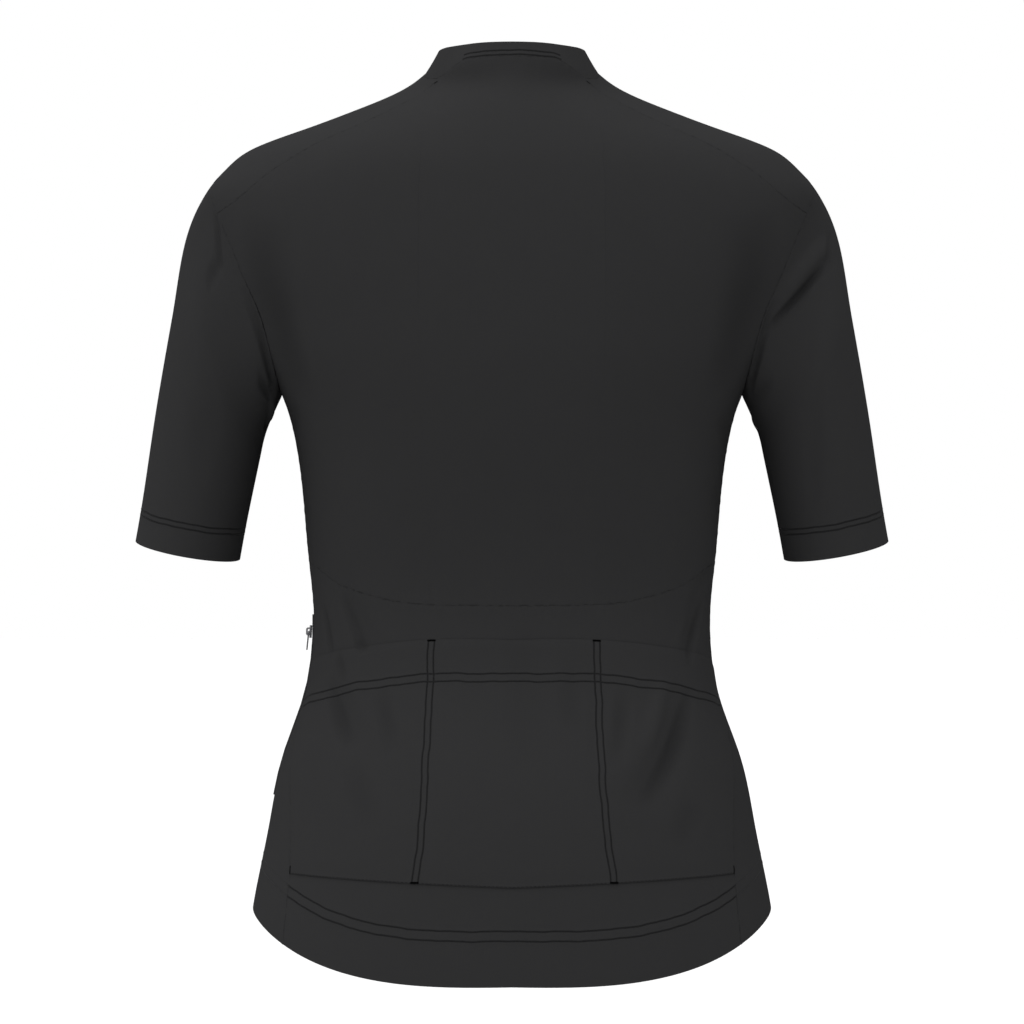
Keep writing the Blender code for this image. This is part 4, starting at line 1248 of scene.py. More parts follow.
@dataclass
class Shell:
    """A cloth panel before it is made: its outer points and what is known at each."""

    points: Array
    outward: Array
    closed: bool = False
    fields: dict[str, Array] = field(default_factory=dict)
    wall: Optional[Array] = None

    roll: float = 0.0016
    roll_depth: float = 0.00006
    ripple_height: float = 0.00010
    ripple_reach: float = 0.003
    ripple_lengths: tuple[float, float] = (0.0071, 0.0113)
    second_ripple: float = 0.7

    def roll_seams(self, lines: Sequence[Array]) -> None:
        """Turns the cloth down into the seams at its edges, and puckers it a little beside them.

        Args:
            lines: Points along each seam edge.
        """
        edge = np.full(self.points.shape[:2], FAR)
        push = np.zeros_like(edge)
        for number, line in enumerate(lines):
            away, along = distances(self.points, resampled(line, EDGE_POINTS))
            beside = away / self.ripple_reach * np.exp(1.0 - away / self.ripple_reach)
            first, second = (along * (2.0 * math.pi / length) for length in self.ripple_lengths)
            wave = np.sin(first + number) + self.second_ripple * np.sin(second + 2.0 * number)
            push += self.ripple_height * beside * wave
            edge = np.minimum(edge, away)
        push -= self.roll_depth * (1.0 - smooth_step(edge, 0.0, self.roll))
        # the distance to the seams, which the knit reads for its painted seam shade and puckers
        self.fields["edge"] = edge
        self.points = self.points + push[..., None] * self.outward

    def pull_back(self, top: bool, foot: bool, first: bool, last: bool) -> None:
        """Moves the named edges in by half the sewn gap."""
        for grid, seams in ((self.points, (top, foot)), (self.points.swapaxes(0, 1), (first, last))):
            for is_seam, (edge, inner) in zip(seams, ENDS):
                if is_seam:
                    grid[edge] += SEWN_GAP / 2.0 * unit(grid[inner] - grid[edge])


@dataclass
class Tailor:
    """Makes panels into cloth and sews along them."""

    thread: bpy.types.Material
    dense_thread: bpy.types.Material
    tonal_thread: bpy.types.Material
    stitch_length: float = 0.0023
    stitch_gap: float = 0.0005
    stitch_half_width: float = 0.00027
    stitch_half_height: float = 0.00022
    single_wall: float = 0.0008
    double_wall: float = 0.0014
    rim_bevel: float = 0.00006
    rim_angle: float = math.radians(50.0)
    bar_half_width: float = 0.00032
    bar_half_height: float = 0.00065
    bar_pitch: float = 0.00042
    trees: dict[str, BVHTree] = field(default_factory=dict)

    def make(self, name: str, shell: Shell, material: bpy.types.Material, slot: Slot) -> None:
        """Args:
            name: The name of the node that it stands for, which it is named after.
            shell: Its points and fields.
            material: Its finish.
            slot: The record's slot; not used.
        """
        cut = cut_lengths(shell.points)
        sheet = grid_mesh(shell.points, cut, shell.closed)
        row_of = sheet.verts.layers.int["row"]
        column_of = sheet.verts.layers.int["column"]
        weights = sheet.verts.layers.deform.verify()
        layers = {key: sheet.verts.layers.float.new(key) for key in shell.fields}
        sheet.normal_update()
        facing = 0.0
        for vertex in sheet.verts:
            row, column = vertex[row_of], vertex[column_of]
            thick = 0.0 if shell.wall is None else float(shell.wall[row, column])
            wall = self.single_wall + thick * (self.double_wall - self.single_wall)
            vertex[weights][0] = wall / self.double_wall
            for key, layer in layers.items():
                vertex[layer] = float(shell.fields[key][row, column])
            facing += float(np.dot(vertex.normal, shell.outward[row, column]))
        if facing < 0.0:
            bmesh.ops.reverse_faces(sheet, faces=sheet.faces[:])
        self.trees[name] = BVHTree.FromBMesh(sheet)
        piece = add_piece(name + "_cloth", sheet, material, replaces=[name])
        piece.vertex_groups.new(name="wall")
        self._thicken(piece)
        area = grid_area(shell.points)

    def _thicken(self, piece: bpy.types.Object) -> None:
        """Gives a sheet its wall, thicker where a hem is turned, and rounds its rims."""
        wall = piece.modifiers.new("wall", "SOLIDIFY")
        wall.thickness = self.double_wall
        wall.offset = -1.0
        wall.vertex_group = "wall"
        wall.use_quality_normals = True
        rim = piece.modifiers.new("rim", "BEVEL")
        rim.width = self.rim_bevel
        rim.segments = 2
        rim.limit_method = "ANGLE"
        rim.angle_limit = self.rim_angle
        rim.harden_normals = True

    def sew(self, name: str, panel: str, lines: Sequence[Array], tonal: bool = False) -> None:
        """Lays rows of stitches on a panel.

        Args:
            name: The piece's name.
            panel: The panel.
            lines: The line that each row follows.
            tonal: Whether the thread has nearly the cloth's colour.
        """
        pitch = self.stitch_length + self.stitch_gap
        sizes = (self.stitch_half_width, self.stitch_half_height, self.stitch_length / 2.0)
        frames = []
        for line in lines:
            count = max(2, round(run_length(line)[-1] / pitch))
            spots = resampled(line, 2 * count + 1)
            tangents = unit(np.gradient(spots, axis=0))
            for middle, tangent in zip(spots[1::2], tangents[1::2]):
                spot, normal, _, _ = self.trees[panel].find_nearest(Vector(middle))
                frames.append(spindle_frame(spot, tangent, normal, sizes))
        add_piece(name, spindles(frames), self.tonal_thread if tonal else self.thread)

    def bar_tack(self, panel: str, ends: Array, depth: float) -> list[Array]:
        """A dense bar of short stitches side by side.

        Args:
            panel: The panel that it lies on.
            ends: Its two ends.
            depth: The length of each stitch, across the bar.

        Returns:
            The stitches' frames.
        """
        bar = ends[1] - ends[0]
        sizes = (self.bar_half_width, self.bar_half_height, depth / 2.0)
        frames = []
        count = max(4, round(float(np.linalg.norm(bar)) / self.bar_pitch))
        for share in np.linspace(0.0, 1.0, count):
            spot, normal, _, _ = self.trees[panel].find_nearest(Vector(ends[0] + share * bar))
            frames.append(spindle_frame(spot, np.cross(normal, bar), normal, sizes))
        return frames


def spindle_frame(spot: Sequence[float], along: Array, out: Sequence[float], sizes: Sequence[float]) -> Array:
    """The half axes of a spindle, and its middle.

    Args:
        spot: Its middle.
        along: The way that it runs.
        out: Off the cloth.
        sizes: Its half width, half height and half length.

    Returns:
        Four rows: across, off the cloth and along, and the middle.
    """
    out = np.array(out)
    side = unit(np.cross(out, along))
    return np.stack([side * sizes[0], out * sizes[1], np.cross(side, out) * sizes[2], np.array(spot)])


def spindles(frames: Sequence[Array]) -> bmesh.types.BMesh:
    """Many small flattened spindles, one for each frame, in one mesh."""
    first = bmesh.new()
    bmesh.ops.create_uvsphere(first, u_segments=6, v_segments=4, radius=1.0)
    mesh = bpy.data.meshes.new("spindle")
    first.to_mesh(mesh)
    first.free()
    plain = np.array([tuple(vertex.co) for vertex in mesh.vertices])
    tool = bmesh.new()
    for _ in frames:
        tool.from_mesh(mesh)
    bpy.data.meshes.remove(mesh)
    frames = np.array(frames)
    places = plain @ frames[:, :3] + frames[:, 3:]
    for vertex, place in zip(tool.verts, places.reshape(-1, 3)):
        vertex.co = place
    return tool


# ------------------------------------------------------------------ the jersey's parts
@dataclass
class Torso:
    """The back, the tail with its pockets, and the two fronts."""

    pattern: Pattern
    tailor: Tailor
    knit: Knit
    hem_depth: float = 0.0340
    hem_gauge: float = 0.0066
    hem_step: tuple[float, float] = (0.002, 0.005)  # past its sewing, where the turned cloth thins out
    hem_points: int = 3600
    # share of the groove and of its painted shade on the fronts' hem rows
    tonal_groove: float = 0.22
    hem_phase: float = 1.0
    zip_edge_points: int = 1800
    zip_rows_skipped: int = 3
    placket_depth: float = 0.0028
    pocket_lift: float = 0.00125
    pocket_sewn_lift: float = 0.00092
    mouth_wall: float = 0.35  # share of the step from a single to a doubled wall
    pocket_settle: float = 0.010  # how far from a sewn line the pocket piece stands free
    pocket_gape: float = 0.0002
    gape_reach: float = 0.034
    sewn_reach: float = 0.0015  # beside a sewn line, where the pocket piece lies tight
    pocket_stray: float = 1.5
    pocket_phase: float = 2.0
    mouth_step: tuple[float, float] = (-0.004, -0.001)
    rim_depth: float = 0.0042  # of the pressed fold along the mouth
    rim_settle: float = 0.00068
    rim_thinning: float = 1.30
    pocket_hem: tuple[Place, ...] = (
        Place(0.0000, -0.4127),
        Place(0.0220, -0.4127),
        Place(0.0420, -0.4127),
        Place(0.0570, -0.4128),
        Place(0.0680, -0.4140),
        Place(0.0780, -0.4157),
        Place(0.1030, -0.4190),
        Place(0.1180, -0.4227),
        Place(0.1370, -0.4290),
        Place(0.1440, -0.4330),
    )
    pocket_gauge: float = 0.0055
    divider_left: tuple[Place, ...] = (
        Place(0.0548, -0.3865),
        Place(0.0554, -0.4161),
        Place(0.0580, -0.4672),
        Place(0.0605, -0.5141),
        Place(0.0647, -0.5479),
    )
    divider_right: tuple[Place, ...] = (
        Place(0.0573, -0.3872),
        Place(0.0582, -0.4162),
        Place(0.0599, -0.4672),
        Place(0.0626, -0.5049),
        Place(0.0680, -0.5477),
    )
    divider_gauge: float = 0.0042
    bar_half: float = 0.0026
    bar_depth: float = 0.0015
    bar_inset: float = 0.0006
    tick_height: float = 0.0050
    tick_depth: float = 0.0006
    tick_inset: float = 0.0012
    foot_stitch: float = 0.0005
    neck_tack: tuple[Place, ...] = (Place(0.0512, -0.0052), Place(0.0532, -0.0066))

    def build(self) -> None:
        """Builds every panel of the torso and its sewing."""
        self.back()
        self.tail()
        self.pocket()
        self.front("front_left", 1.0)
        self.front("front_right", -1.0)

    def _shell(self, grid: Array, lift: Union[float, Array] = 0.0) -> Shell:
        """A shell on the form over a grid of places."""
        form = self.pattern.form
        shell = Shell(form.worn(grid, lift), form.normal(grid[..., 0], grid[..., 1]))
        # the creases' depth, which the knit paints as shade
        shell.fields["hollow"] = form.hollow(grid)
        return shell

    def _whole_hem(self) -> Array:
        """Points along the hem of both fronts and the tail."""
        hem = self.pattern.edges["hem"]
        return self.pattern.form.point(*hem.at(np.linspace(0.0, hem.cells, self.hem_points)).T)

    def back(self) -> None:
        """The upper back."""
        shell = self._shell(self.pattern.back_panel().fine(self.pattern.form, even=True))
        p = shell.points
        shell.roll_seams([p[0], p[-1], p[:, 0], p[:, -1]])
        shell.pull_back(True, True, True, True)
        self.tailor.make("back_panel", shell, self.knit.material("back_knit"), Slot.KNIT)
        tacks = []
        for side in (-1.0, 1.0):
            ends = self._placed_points(self.neck_tack) * np.array([side, 1.0, 1.0])
            tacks += self.tailor.bar_tack("back_panel", ends, self.tick_depth)
        add_piece("neck_corner_tacks", spindles(tacks), self.tailor.thread)

    def _placed_points(self, rows: Sequence[Place]) -> Array:
        """Points of the form at places on the back."""
        return self.pattern.form.point(*self.pattern.placed(rows, 1).T)

    def tail(self) -> None:
        """The lower back with its deep hem."""
        shell = self._shell(self.pattern.back_tail().fine(self.pattern.form, even=False))
        p = shell.points
        away, along = distances(p, self._whole_hem())
        shell.roll_seams([p[0], p[:, 0], p[:, -1]])
        shell.pull_back(True, False, True, True)
        self._add_hem(shell, away + stray(along, self.hem_phase))
        material = self.knit.material("tail_knit", [Needle("hem", self.hem_gauge)])
        self.tailor.make("back_tail", shell, material, Slot.KNIT)
        self._sew_hem("tail_hem_stitching", "back_tail", shell)

    def _add_hem(self, shell: Shell, away: Array) -> None:
        """Marks the turned hem of a shell, given each point's distance from the edge."""
        shell.fields["hem"] = away - self.hem_depth
        low, high = (self.hem_depth + step for step in self.hem_step)
        shell.wall = 1.0 - smooth_step(away, low, high)

    def _sew_hem(self, name: str, panel: str, shell: Shell, tonal: bool = False) -> None:
        """Sews the two rows of a hem."""
        rows = twin(shell.points, shell.fields["hem"], self.hem_gauge)
        self.tailor.sew(name, panel, rows, tonal)

    def _line(self, rows: Sequence[Place], side: float) -> tuple[Array, Array]:
        """A sewn line's points on the pocket piece, and the form's normals there.

        Args:
            rows: A few of its places.
            side: 1 on the wearer's left, -1 on the right and 0 for both, across the middle.

        Returns:
            Points and normals.
        """
        form = self.pattern.form
        places = form.line(self.pattern.placed(rows, 1))
        if side <= 0.0:
            places = places * MIRROR if side else both_ways(places)
        normals = form.normal(*places.T)
        return resampled(form.worn(places, self.pocket_lift), len(places)), normals

    def pocket(self) -> None:
        """The pocket piece: a hemmed mouth, two dividers and a sewn foot."""
        grid = self.pattern.pocket_panel().fine(self.pattern.form, even=False)
        flat = self._shell(grid, self.pocket_lift).points
        fields = {}
        for key, rows, side in (
            ("mouth", self.pocket_hem, 0.0),
            ("divider_left", self.divider_left, 1.0),
            ("divider_right", self.divider_right, -1.0),
        ):
            away, along = distances(flat, *self._line(rows, side))
            fields[key] = away + self.pocket_stray * stray(along, self.pocket_phase + side)
        sewn = np.minimum(np.abs(fields["divider_left"]), np.abs(fields["divider_right"]))
        for line in (flat[:, 0], flat[:, -1], flat[-1]):
            sewn = np.minimum(sewn, distances(flat, resampled(line, EDGE_POINTS))[0])
        free = smooth_step(sewn, self.sewn_reach, self.pocket_settle)
        top, _ = distances(flat, resampled(flat[0], CLOSE_SET))
        gape = self.pocket_gape * smooth_step(sewn, self.pocket_settle, self.gape_reach)
        gape = gape * (1.0 - smooth_step(top, 0.0, self.gape_reach))
        lift = self.pocket_sewn_lift + (self.pocket_lift - self.pocket_sewn_lift) * free + gape
        rim = 1.0 - smooth_step(top, 0.0, self.rim_depth)
        shell = self._shell(grid, lift - self.rim_settle * rim)
        p = shell.points
        shell.roll_seams([p[:, 0], p[:, -1]])
        shell.pull_back(False, False, True, True)
        shell.fields.update(fields)
        above = -shell.fields["mouth"] * self._mouth_sign(fields["mouth"])
        shell.wall = self.mouth_wall * smooth_step(above, *self.mouth_step) - self.rim_thinning * rim
        needles = [
            Needle("mouth", self.pocket_gauge),
            Needle("divider_left", self.divider_gauge),
            Needle("divider_right", self.divider_gauge),
        ]
        self.tailor.make("pocket_panel", shell, self.knit.material("pocket_knit", needles), Slot.POCKET)
        self._sew_pocket(shell)

    @staticmethod
    def _mouth_sign(away: Array) -> float:
        """The sign of the distances above the mouth's sewn line."""
        return -1.0 if float(away[0].mean()) > 0.0 else 1.0

    def _sew_pocket(self, shell: Shell) -> None:
        """Sews the pocket piece: its mouth, its dividers with their bar tacks, and its foot."""
        lines = twin(shell.points, shell.fields["mouth"], self.pocket_gauge)
        across = np.array([self.bar_half, 0.0, 0.0])
        bars = []
        for key in ("divider_left", "divider_right"):
            lines += twin(shell.points, shell.fields[key], self.divider_gauge, down=False)
            middle = contour(shell.points, shell.fields[key], 0.0, False)
            for end, inner in ENDS:
                spot = middle[end] + self.bar_inset * unit(middle[inner] - middle[end])
                ends = np.array([spot - across, spot + across])
                bars += self.tailor.bar_tack("pocket_panel", ends, self.bar_depth)
        foot, _ = distances(shell.points, resampled(shell.points[-1], CLOSE_SET))
        lines.append(contour(shell.points, foot, self.foot_stitch, True))
        for column, inner in ENDS:
            corner = shell.points[-1, column]
            low = corner + self.tick_inset * unit(shell.points[-1, inner] - corner)
            high = low + self.tick_height * unit(shell.points[-3, column] - corner)
            bars += self.tailor.bar_tack("pocket_panel", np.array([low, high]), self.tick_depth)
        self.tailor.sew("pocket_stitching", "pocket_panel", lines)
        add_piece("pocket_bar_tacks", spindles(bars), self.tailor.dense_thread)

    def front(self, name: str, side: float) -> None:
        """One front.

        Args:
            name: Its node.
            side: 1 on the wearer's left, -1 on the right.
        """
        grid = self.pattern.front_left().fine(self.pattern.form, even=True) * np.array([side, 1.0])
        shell = self._shell(grid)
        p = shell.points
        away, along = distances(p, self._whole_hem())
        to_zip, _ = distances(p, resampled(p[:, -1], self.zip_edge_points))
        shell.roll_seams([p[0], p[:, 0], p[:, -1]])
        shell.pull_back(True, False, True, True)
        self._add_hem(shell, away + stray(along, self.hem_phase))
        neck = self.pattern.neck_front_cells * FINENESS + self.zip_rows_skipped
        to_zip[:neck] = FAR
        shell.fields["placket"] = to_zip - self.placket_depth
        needles = [Needle("hem", self.hem_gauge, self.tonal_groove), Needle("placket", 0.0)]
        self.tailor.make(name, shell, self.knit.material(name + "_knit", needles), Slot.KNIT)
        self._sew_hem(name + "_hem_stitching", name, shell, tonal=True)
        run = contour(shell.points[neck:], shell.fields["placket"][neck:], 0.0, False)
        self.tailor.sew(name + "_zip_stitching", name, [run])


class SleeveRing(NamedTuple):
    """One level of the straight sleeve, up from the cuff."""

    up: float
    half_width: float
    half_depth: float


@dataclass
class Sleeves:
    """Both set-in sleeves."""

    pattern: Pattern
    tailor: Tailor
    knit: Knit
    cuff_middle: tuple[float, float, float] = (0.2265, -0.0170, -0.3267)
    lean_out: float = math.radians(10.5)
    lean_forward: float = math.radians(5.7)
    rings: tuple[SleeveRing, ...] = (
        SleeveRing(0.000, 0.0370, 0.0460),
        SleeveRing(0.020, 0.0370, 0.0460),
        SleeveRing(0.080, 0.0385, 0.0470),
        SleeveRing(0.160, 0.0390, 0.0480),
    )
    cap_foot_outside: float = 0.158
    cap_foot_inside: float = 0.078
    cap_pull: float = 0.38
    cap_fold_from: float = 45.0
    cap_fold_to: float = 150.0
    cap_fold_spread: float = 0.24
    cap_rows: int = 7
    tube_rows: int = 4
    cuff_depth: float = 0.0212
    cuff_gauge: float = 0.0037
    cuff_step: tuple[float, float] = (0.001, 0.004)
    cuff_phase: float = 5.0
    crease_radius: float = 0.046
    crease_start: float = 0.0035  # below the armhole, where the creases have their full depth
    left_creases: tuple[Fold, ...] = (
        Fold(45.0, 0.0010, 72.0, 0.0200, 0.0048, 0.0019),
        Fold(68.0, 0.0120, 64.0, 0.0400, 0.0060, 0.0018),
        Fold(88.0, 0.0042, 158.0, 0.0050, 0.0062, 0.0021),
        Fold(128.0, 0.0200, 160.0, 0.0060, 0.0060, 0.0022),
        Fold(150.0, 0.0060, 178.0, 0.0220, 0.0080, -0.0019),
        Fold(160.0, 0.0260, 190.0, 0.0240, 0.0055, 0.0016),
        Fold(-60.0, 0.0120, -98.0, 0.0400, 0.0100, 0.0015),
        Fold(-140.0, 0.0060, -112.0, 0.0300, 0.0080, 0.0015),
        Fold(96.0, 0.0700, 78.0, 0.1500, 0.0160, 0.0008),
        Fold(-92.0, 0.0800, -70.0, 0.1400, 0.0150, 0.0009),
    )
    right_creases: tuple[Fold, ...] = (
        Fold(24.0, 0.0520, 114.0, 0.0080, 0.0070, 0.0015),
        Fold(46.0, 0.0430, 113.0, 0.0056, 0.0034, 0.0032),
        Fold(24.0, 0.0400, 96.0, 0.0050, 0.0080, -0.0016),
        Fold(26.0, 0.0300, 44.0, 0.0440, 0.0080, 0.0014),
        Fold(94.0, 0.0044, 154.0, 0.0050, 0.0062, 0.0022),
        Fold(158.0, 0.0060, 124.0, 0.0280, 0.0070, 0.0012),
        Fold(168.0, 0.0160, 184.0, 0.0260, 0.0060, -0.0012),
        Fold(-30.0, 0.0300, -104.0, 0.0100, 0.0090, 0.0017),
        Fold(-148.0, 0.0060, -118.0, 0.0340, 0.0080, 0.0014),
        Fold(88.0, 0.0800, 104.0, 0.1400, 0.0160, 0.0008),
        Fold(-84.0, 0.0750, -100.0, 0.1500, 0.0150, 0.0008),
    )

    def build(self) -> None:
        """Builds both sleeves and their cuffs' sewing."""
        self.sleeve("sleeve_left", 1.0, self.left_creases)
        self.sleeve("sleeve_right", -1.0, self.right_creases)

    def clocks(self) -> Array:
        """Clock angles round the armhole, from its foot over the back and the front to its foot."""
        pattern = self.pattern
        parts = []
        for stop, cells in ((180.0, pattern.armhole_back_cells), (-180.0, pattern.armhole_front_cells)):
            dense = np.radians(np.linspace(pattern.seam_clock, stop, DENSE))
            places = pattern.armhole_places(dense)
            along = run_length(pattern.form.point(*places.T))
            parts.append(np.interp(np.linspace(0.0, along[-1], cells * FINENESS + 1), along, dense))
        return np.concatenate([parts[0][::-1], parts[1][1:]])

    def directions(self) -> tuple[Array, Array, Array]:
        """Down along the sleeve, out from the body and back across the sleeve."""
        down = unit(np.array([math.tan(self.lean_out), -math.tan(self.lean_forward), -1.0]))
        out = np.array([1.0, 0.0, 0.0])
        out = unit(out - out.dot(down) * down)
        return down, out, np.cross(out, down)

    def tube(self, clock: Array, up: Array) -> Array:
        """Points on the straight part, at heights up along it from the cuff."""
        down, out, back = self.directions()
        rings = Curve([ring.up for ring in self.rings], [ring[1:] for ring in self.rings])
        half_width, half_depth = np.moveaxis(rings.at(up), -1, 0)
        middle = np.array(self.cuff_middle) - up[..., None] * down
        sideways = (half_width * np.cos(clock))[..., None] * out
        return middle + sideways + (half_depth * np.sin(clock))[..., None] * back

    def start(self, clock: Array) -> tuple[Array, Array]:
        """Armhole points, and the directions in which the sleeve leaves them."""
        form, step = self.pattern.form, TURN_STEP
        places = self.pattern.armhole_places(clock)
        ahead = self.pattern.armhole_places(clock + step)
        behind = self.pattern.armhole_places(clock - step)
        along = unit(form.point(ahead[..., 0], ahead[..., 1]) - form.point(behind[..., 0], behind[..., 1]))
        onward = np.cross(along, form.normal(places[..., 0], places[..., 1]))
        down, out, _ = self.directions()
        fold = smooth_step(np.abs(np.degrees(clock)), self.cap_fold_from, self.cap_fold_to)[..., None]
        leave = unit((1.0 - fold) * onward + fold * (down + self.cap_fold_spread * out))
        return form.point(places[..., 0], places[..., 1]), leave

    def points(self, clock: Array) -> Array:
        """Outer points of the left sleeve, a row for each station down it."""
        down, _, _ = self.directions()
        spot, leave = self.start(clock)
        inside = (1.0 - np.cos(clock)) / 2.0
        foot_up = self.cap_foot_outside + (self.cap_foot_inside - self.cap_foot_outside) * inside
        foot = self.tube(clock, foot_up)
        span = self.cap_pull * np.linalg.norm(foot - spot, axis=-1)[..., None]
        handle, landing = spot + span * leave, foot - span * down
        cells = stations(self.cap_rows + self.tube_rows)
        cells = np.sort(np.concatenate([cells, (cells[2:-3] + cells[3:-2]) / 2.0]))
        rows = []
        for cell in cells:
            if cell <= self.cap_rows:
                part = cell / self.cap_rows
                rest = 1.0 - part
                cap = rest**3 * spot + 3.0 * rest**2 * part * handle
                rows.append(cap + 3.0 * rest * part**2 * landing + part**3 * foot)
            else:
                part = (cell - self.cap_rows) / self.tube_rows
                rows.append(self.tube(clock, foot_up * (1.0 - part)))
        return np.array(rows)

    def sleeve(self, name: str, side: float, creases: Sequence[Fold]) -> None:
        """One sleeve.

        Args:
            name: Its node.
            side: 1 on the wearer's left, -1 on the right.
            creases: Its soft creases, by clock angle and length down from the armhole.
        """
        clock = self.clocks()
        points = self.points(clock)
        middle = points.mean(axis=1, keepdims=True)
        normals = grid_normals(points, points - middle)
        downs = cut_lengths(points)[..., 1]
        depth = pressed(creases, self.crease_radius, clock + 0.0 * downs, downs)
        depth = depth * smooth_step(downs, 0.0, self.crease_start)
        points = points - depth[..., None] * normals
        flip = np.array([side, 1.0, 1.0])
        shell = Shell(points * flip, normals * flip, closed=True)
        # the creases' depth, which the knit paints as shade
        shell.fields["hollow"] = MILLIMETRES * depth
        away, along = distances(shell.points, resampled(shell.points[-1], EDGE_POINTS))
        shell.roll_seams([shell.points[0]])
        shell.pull_back(True, False, False, False)
        shell.points[:, -1] = shell.points[:, 0]
        shell.fields["cuff"] = away - self.cuff_depth + stray(along, self.cuff_phase + side)
        low, high = (self.cuff_depth + step for step in self.cuff_step)
        shell.wall = 1.0 - smooth_step(away, low, high)
        material = self.knit.material(name + "_knit", [Needle("cuff", self.cuff_gauge)])
        self.tailor.make(name, shell, material, Slot.KNIT)
        rows = twin(shell.points, shell.fields["cuff"], self.cuff_gauge)
        self.tailor.sew(name + "_cuff_stitching", name, rows)


class CollarEdge(NamedTuple):
    """The collar's top over one turn in degrees: its level and how far it leans in."""

    turn: float
    level: float
    lean: float


@dataclass
class Collar:
    """The low standing collar: one doubled band, open at centre front."""

    pattern: Pattern
    tailor: Tailor
    knit: Knit
    top: tuple[CollarEdge, ...] = (
        CollarEdge(0.0, 0.0205, 0.0035),
        CollarEdge(25.0, 0.0201, 0.0038),
        CollarEdge(50.0, 0.0189, 0.0086),
        CollarEdge(65.0, 0.0177, 0.0099),
        CollarEdge(90.0, 0.0163, 0.0090),
        CollarEdge(120.0, 0.0138, 0.0082),
        CollarEdge(141.0, 0.0070, 0.0068),
        CollarEdge(155.0, -0.0050, 0.0050),
        CollarEdge(168.0, -0.0230, 0.0040),
        CollarEdge(180.0, -0.0390, 0.0030),
    )
    end_squareness: int = 8
    rows: int = 9
    neck_stitch: float = 0.0024
    neck_gauge: float = 0.0032
    neck_stitch_turn: float = 37.0
    neck_phase: float = 7.0
    ripple_height: float = 0.00005

    def grid(self, places: Array) -> Array:
        """Outer points over places of the neck seam, from the collar's top to its foot."""
        foot = self.pattern.form.point(*places.T)
        edge = Curve([math.radians(row.turn) for row in self.top], [row[1:] for row in self.top])
        level, lean = np.moveaxis(edge.at(np.abs(places[:, 0])), -1, 0)
        inward = unit(foot * np.array([-1.0, -1.0, 0.0]))
        inward[:, 0] *= 1.0 - np.clip(-np.cos(places[:, 0]), 0.0, 1.0) ** self.end_squareness
        top = foot + lean[:, None] * inward
        top[:, 2] = level
        parts = np.linspace(0.0, 1.0, self.rows)[:, None, None]
        return (1.0 - parts) * top[None] + parts * foot[None]

    def build(self) -> None:
        """Builds the collar and the twin rows behind the neck."""
        neck = self.pattern.edges["neck"]
        places = neck.at(stations(neck.cells))
        points = self.grid(places)
        normals = grid_normals(points, points * np.array([1.0, 1.0, 0.0]))
        shell = Shell(points, normals, ripple_height=self.ripple_height)
        away, along = distances(points, resampled(points[-1], CLOSE_SET))
        shell.roll_seams([points[-1]])
        shell.pull_back(False, True, True, True)
        behind = np.abs(places[:, 0]) < math.radians(self.neck_stitch_turn)
        sewn = away - self.neck_stitch + stray(along, self.neck_phase)
        shell.fields["neck"] = np.where(behind, sewn, FAR)
        # no painted crease shade and no painted seam shade on the collar
        shell.fields["hollow"] = np.zeros(points.shape[:2])
        shell.fields["edge"] = np.full(points.shape[:2], FAR)
        shell.wall = np.ones(points.shape[:2])
        material = self.knit.material("collar_knit", [Needle("neck", self.neck_gauge)])
        self.tailor.make("collar", shell, material, Slot.KNIT)
        rows = twin(shell.points[:, behind], shell.fields["neck"][:, behind], self.neck_gauge)
        self.tailor.sew("neck_stitching", "collar", rows)


@dataclass
class SeamAllowances:
    """The overlocked edges inside, along every seam between panels."""

    pattern: Pattern
    material: bpy.types.Material
    half_width: float = 0.0028
    half_thick: float = 0.00045
    depth: float = 0.00132
    step: float = 0.0032
    sides: int = 8
    least_rings: int = 8
    cell_points: int = 40

    def build(self) -> None:
        """Builds one ridge along each seam."""
        e = self.pattern.edges
        self.ridge("waist_overlock", e["waist"])
        for name, edge in (
            ("shoulder", e["shoulder"]),
            ("armhole", e["armhole_back"].reversed() + e["armhole_front"]),
            ("side", e["side"]),
        ):
            self.ridge(name + "_left_overlock", edge)
            self.ridge(name + "_right_overlock", edge.mirrored())
        self.ridge("neck_overlock", e["neck"])

    def ridge(self, name: str, edge: Edge) -> None:
        """A flat ridge under a seam, closed at its ends."""
        form = self.pattern.form
        places = edge.at(np.linspace(0.0, edge.cells, self.cell_points * edge.cells))
        count = max(self.least_rings, round(run_length(form.point(*places.T))[-1] / self.step))
        places = resampled(places, count)
        normals = form.normal(*places.T)
        middle = form.point(*places.T) - self.depth * normals
        side = unit(np.cross(unit(np.gradient(middle, axis=0)), normals))
        turns = 2.0 * math.pi * (np.arange(self.sides + 1) % self.sides + 0.5) / self.sides
        outline = np.stack([self.half_width * np.cos(turns), self.half_thick * np.sin(turns)], -1)
        rings = np.stack([middle + a * side + b * normals for a, b in outline], 1)
        cut = np.stack(np.broadcast_arrays(outline[None, :, 0], run_length(middle)[:, None]), -1)
        tool = grid_mesh(rings, cut, closed=True)
        bmesh.ops.holes_fill(tool, edges=[edge for edge in tool.edges if edge.is_boundary], sides=0)
        bmesh.ops.recalc_face_normals(tool, faces=tool.faces[:])
        add_piece(name, tool, self.material)


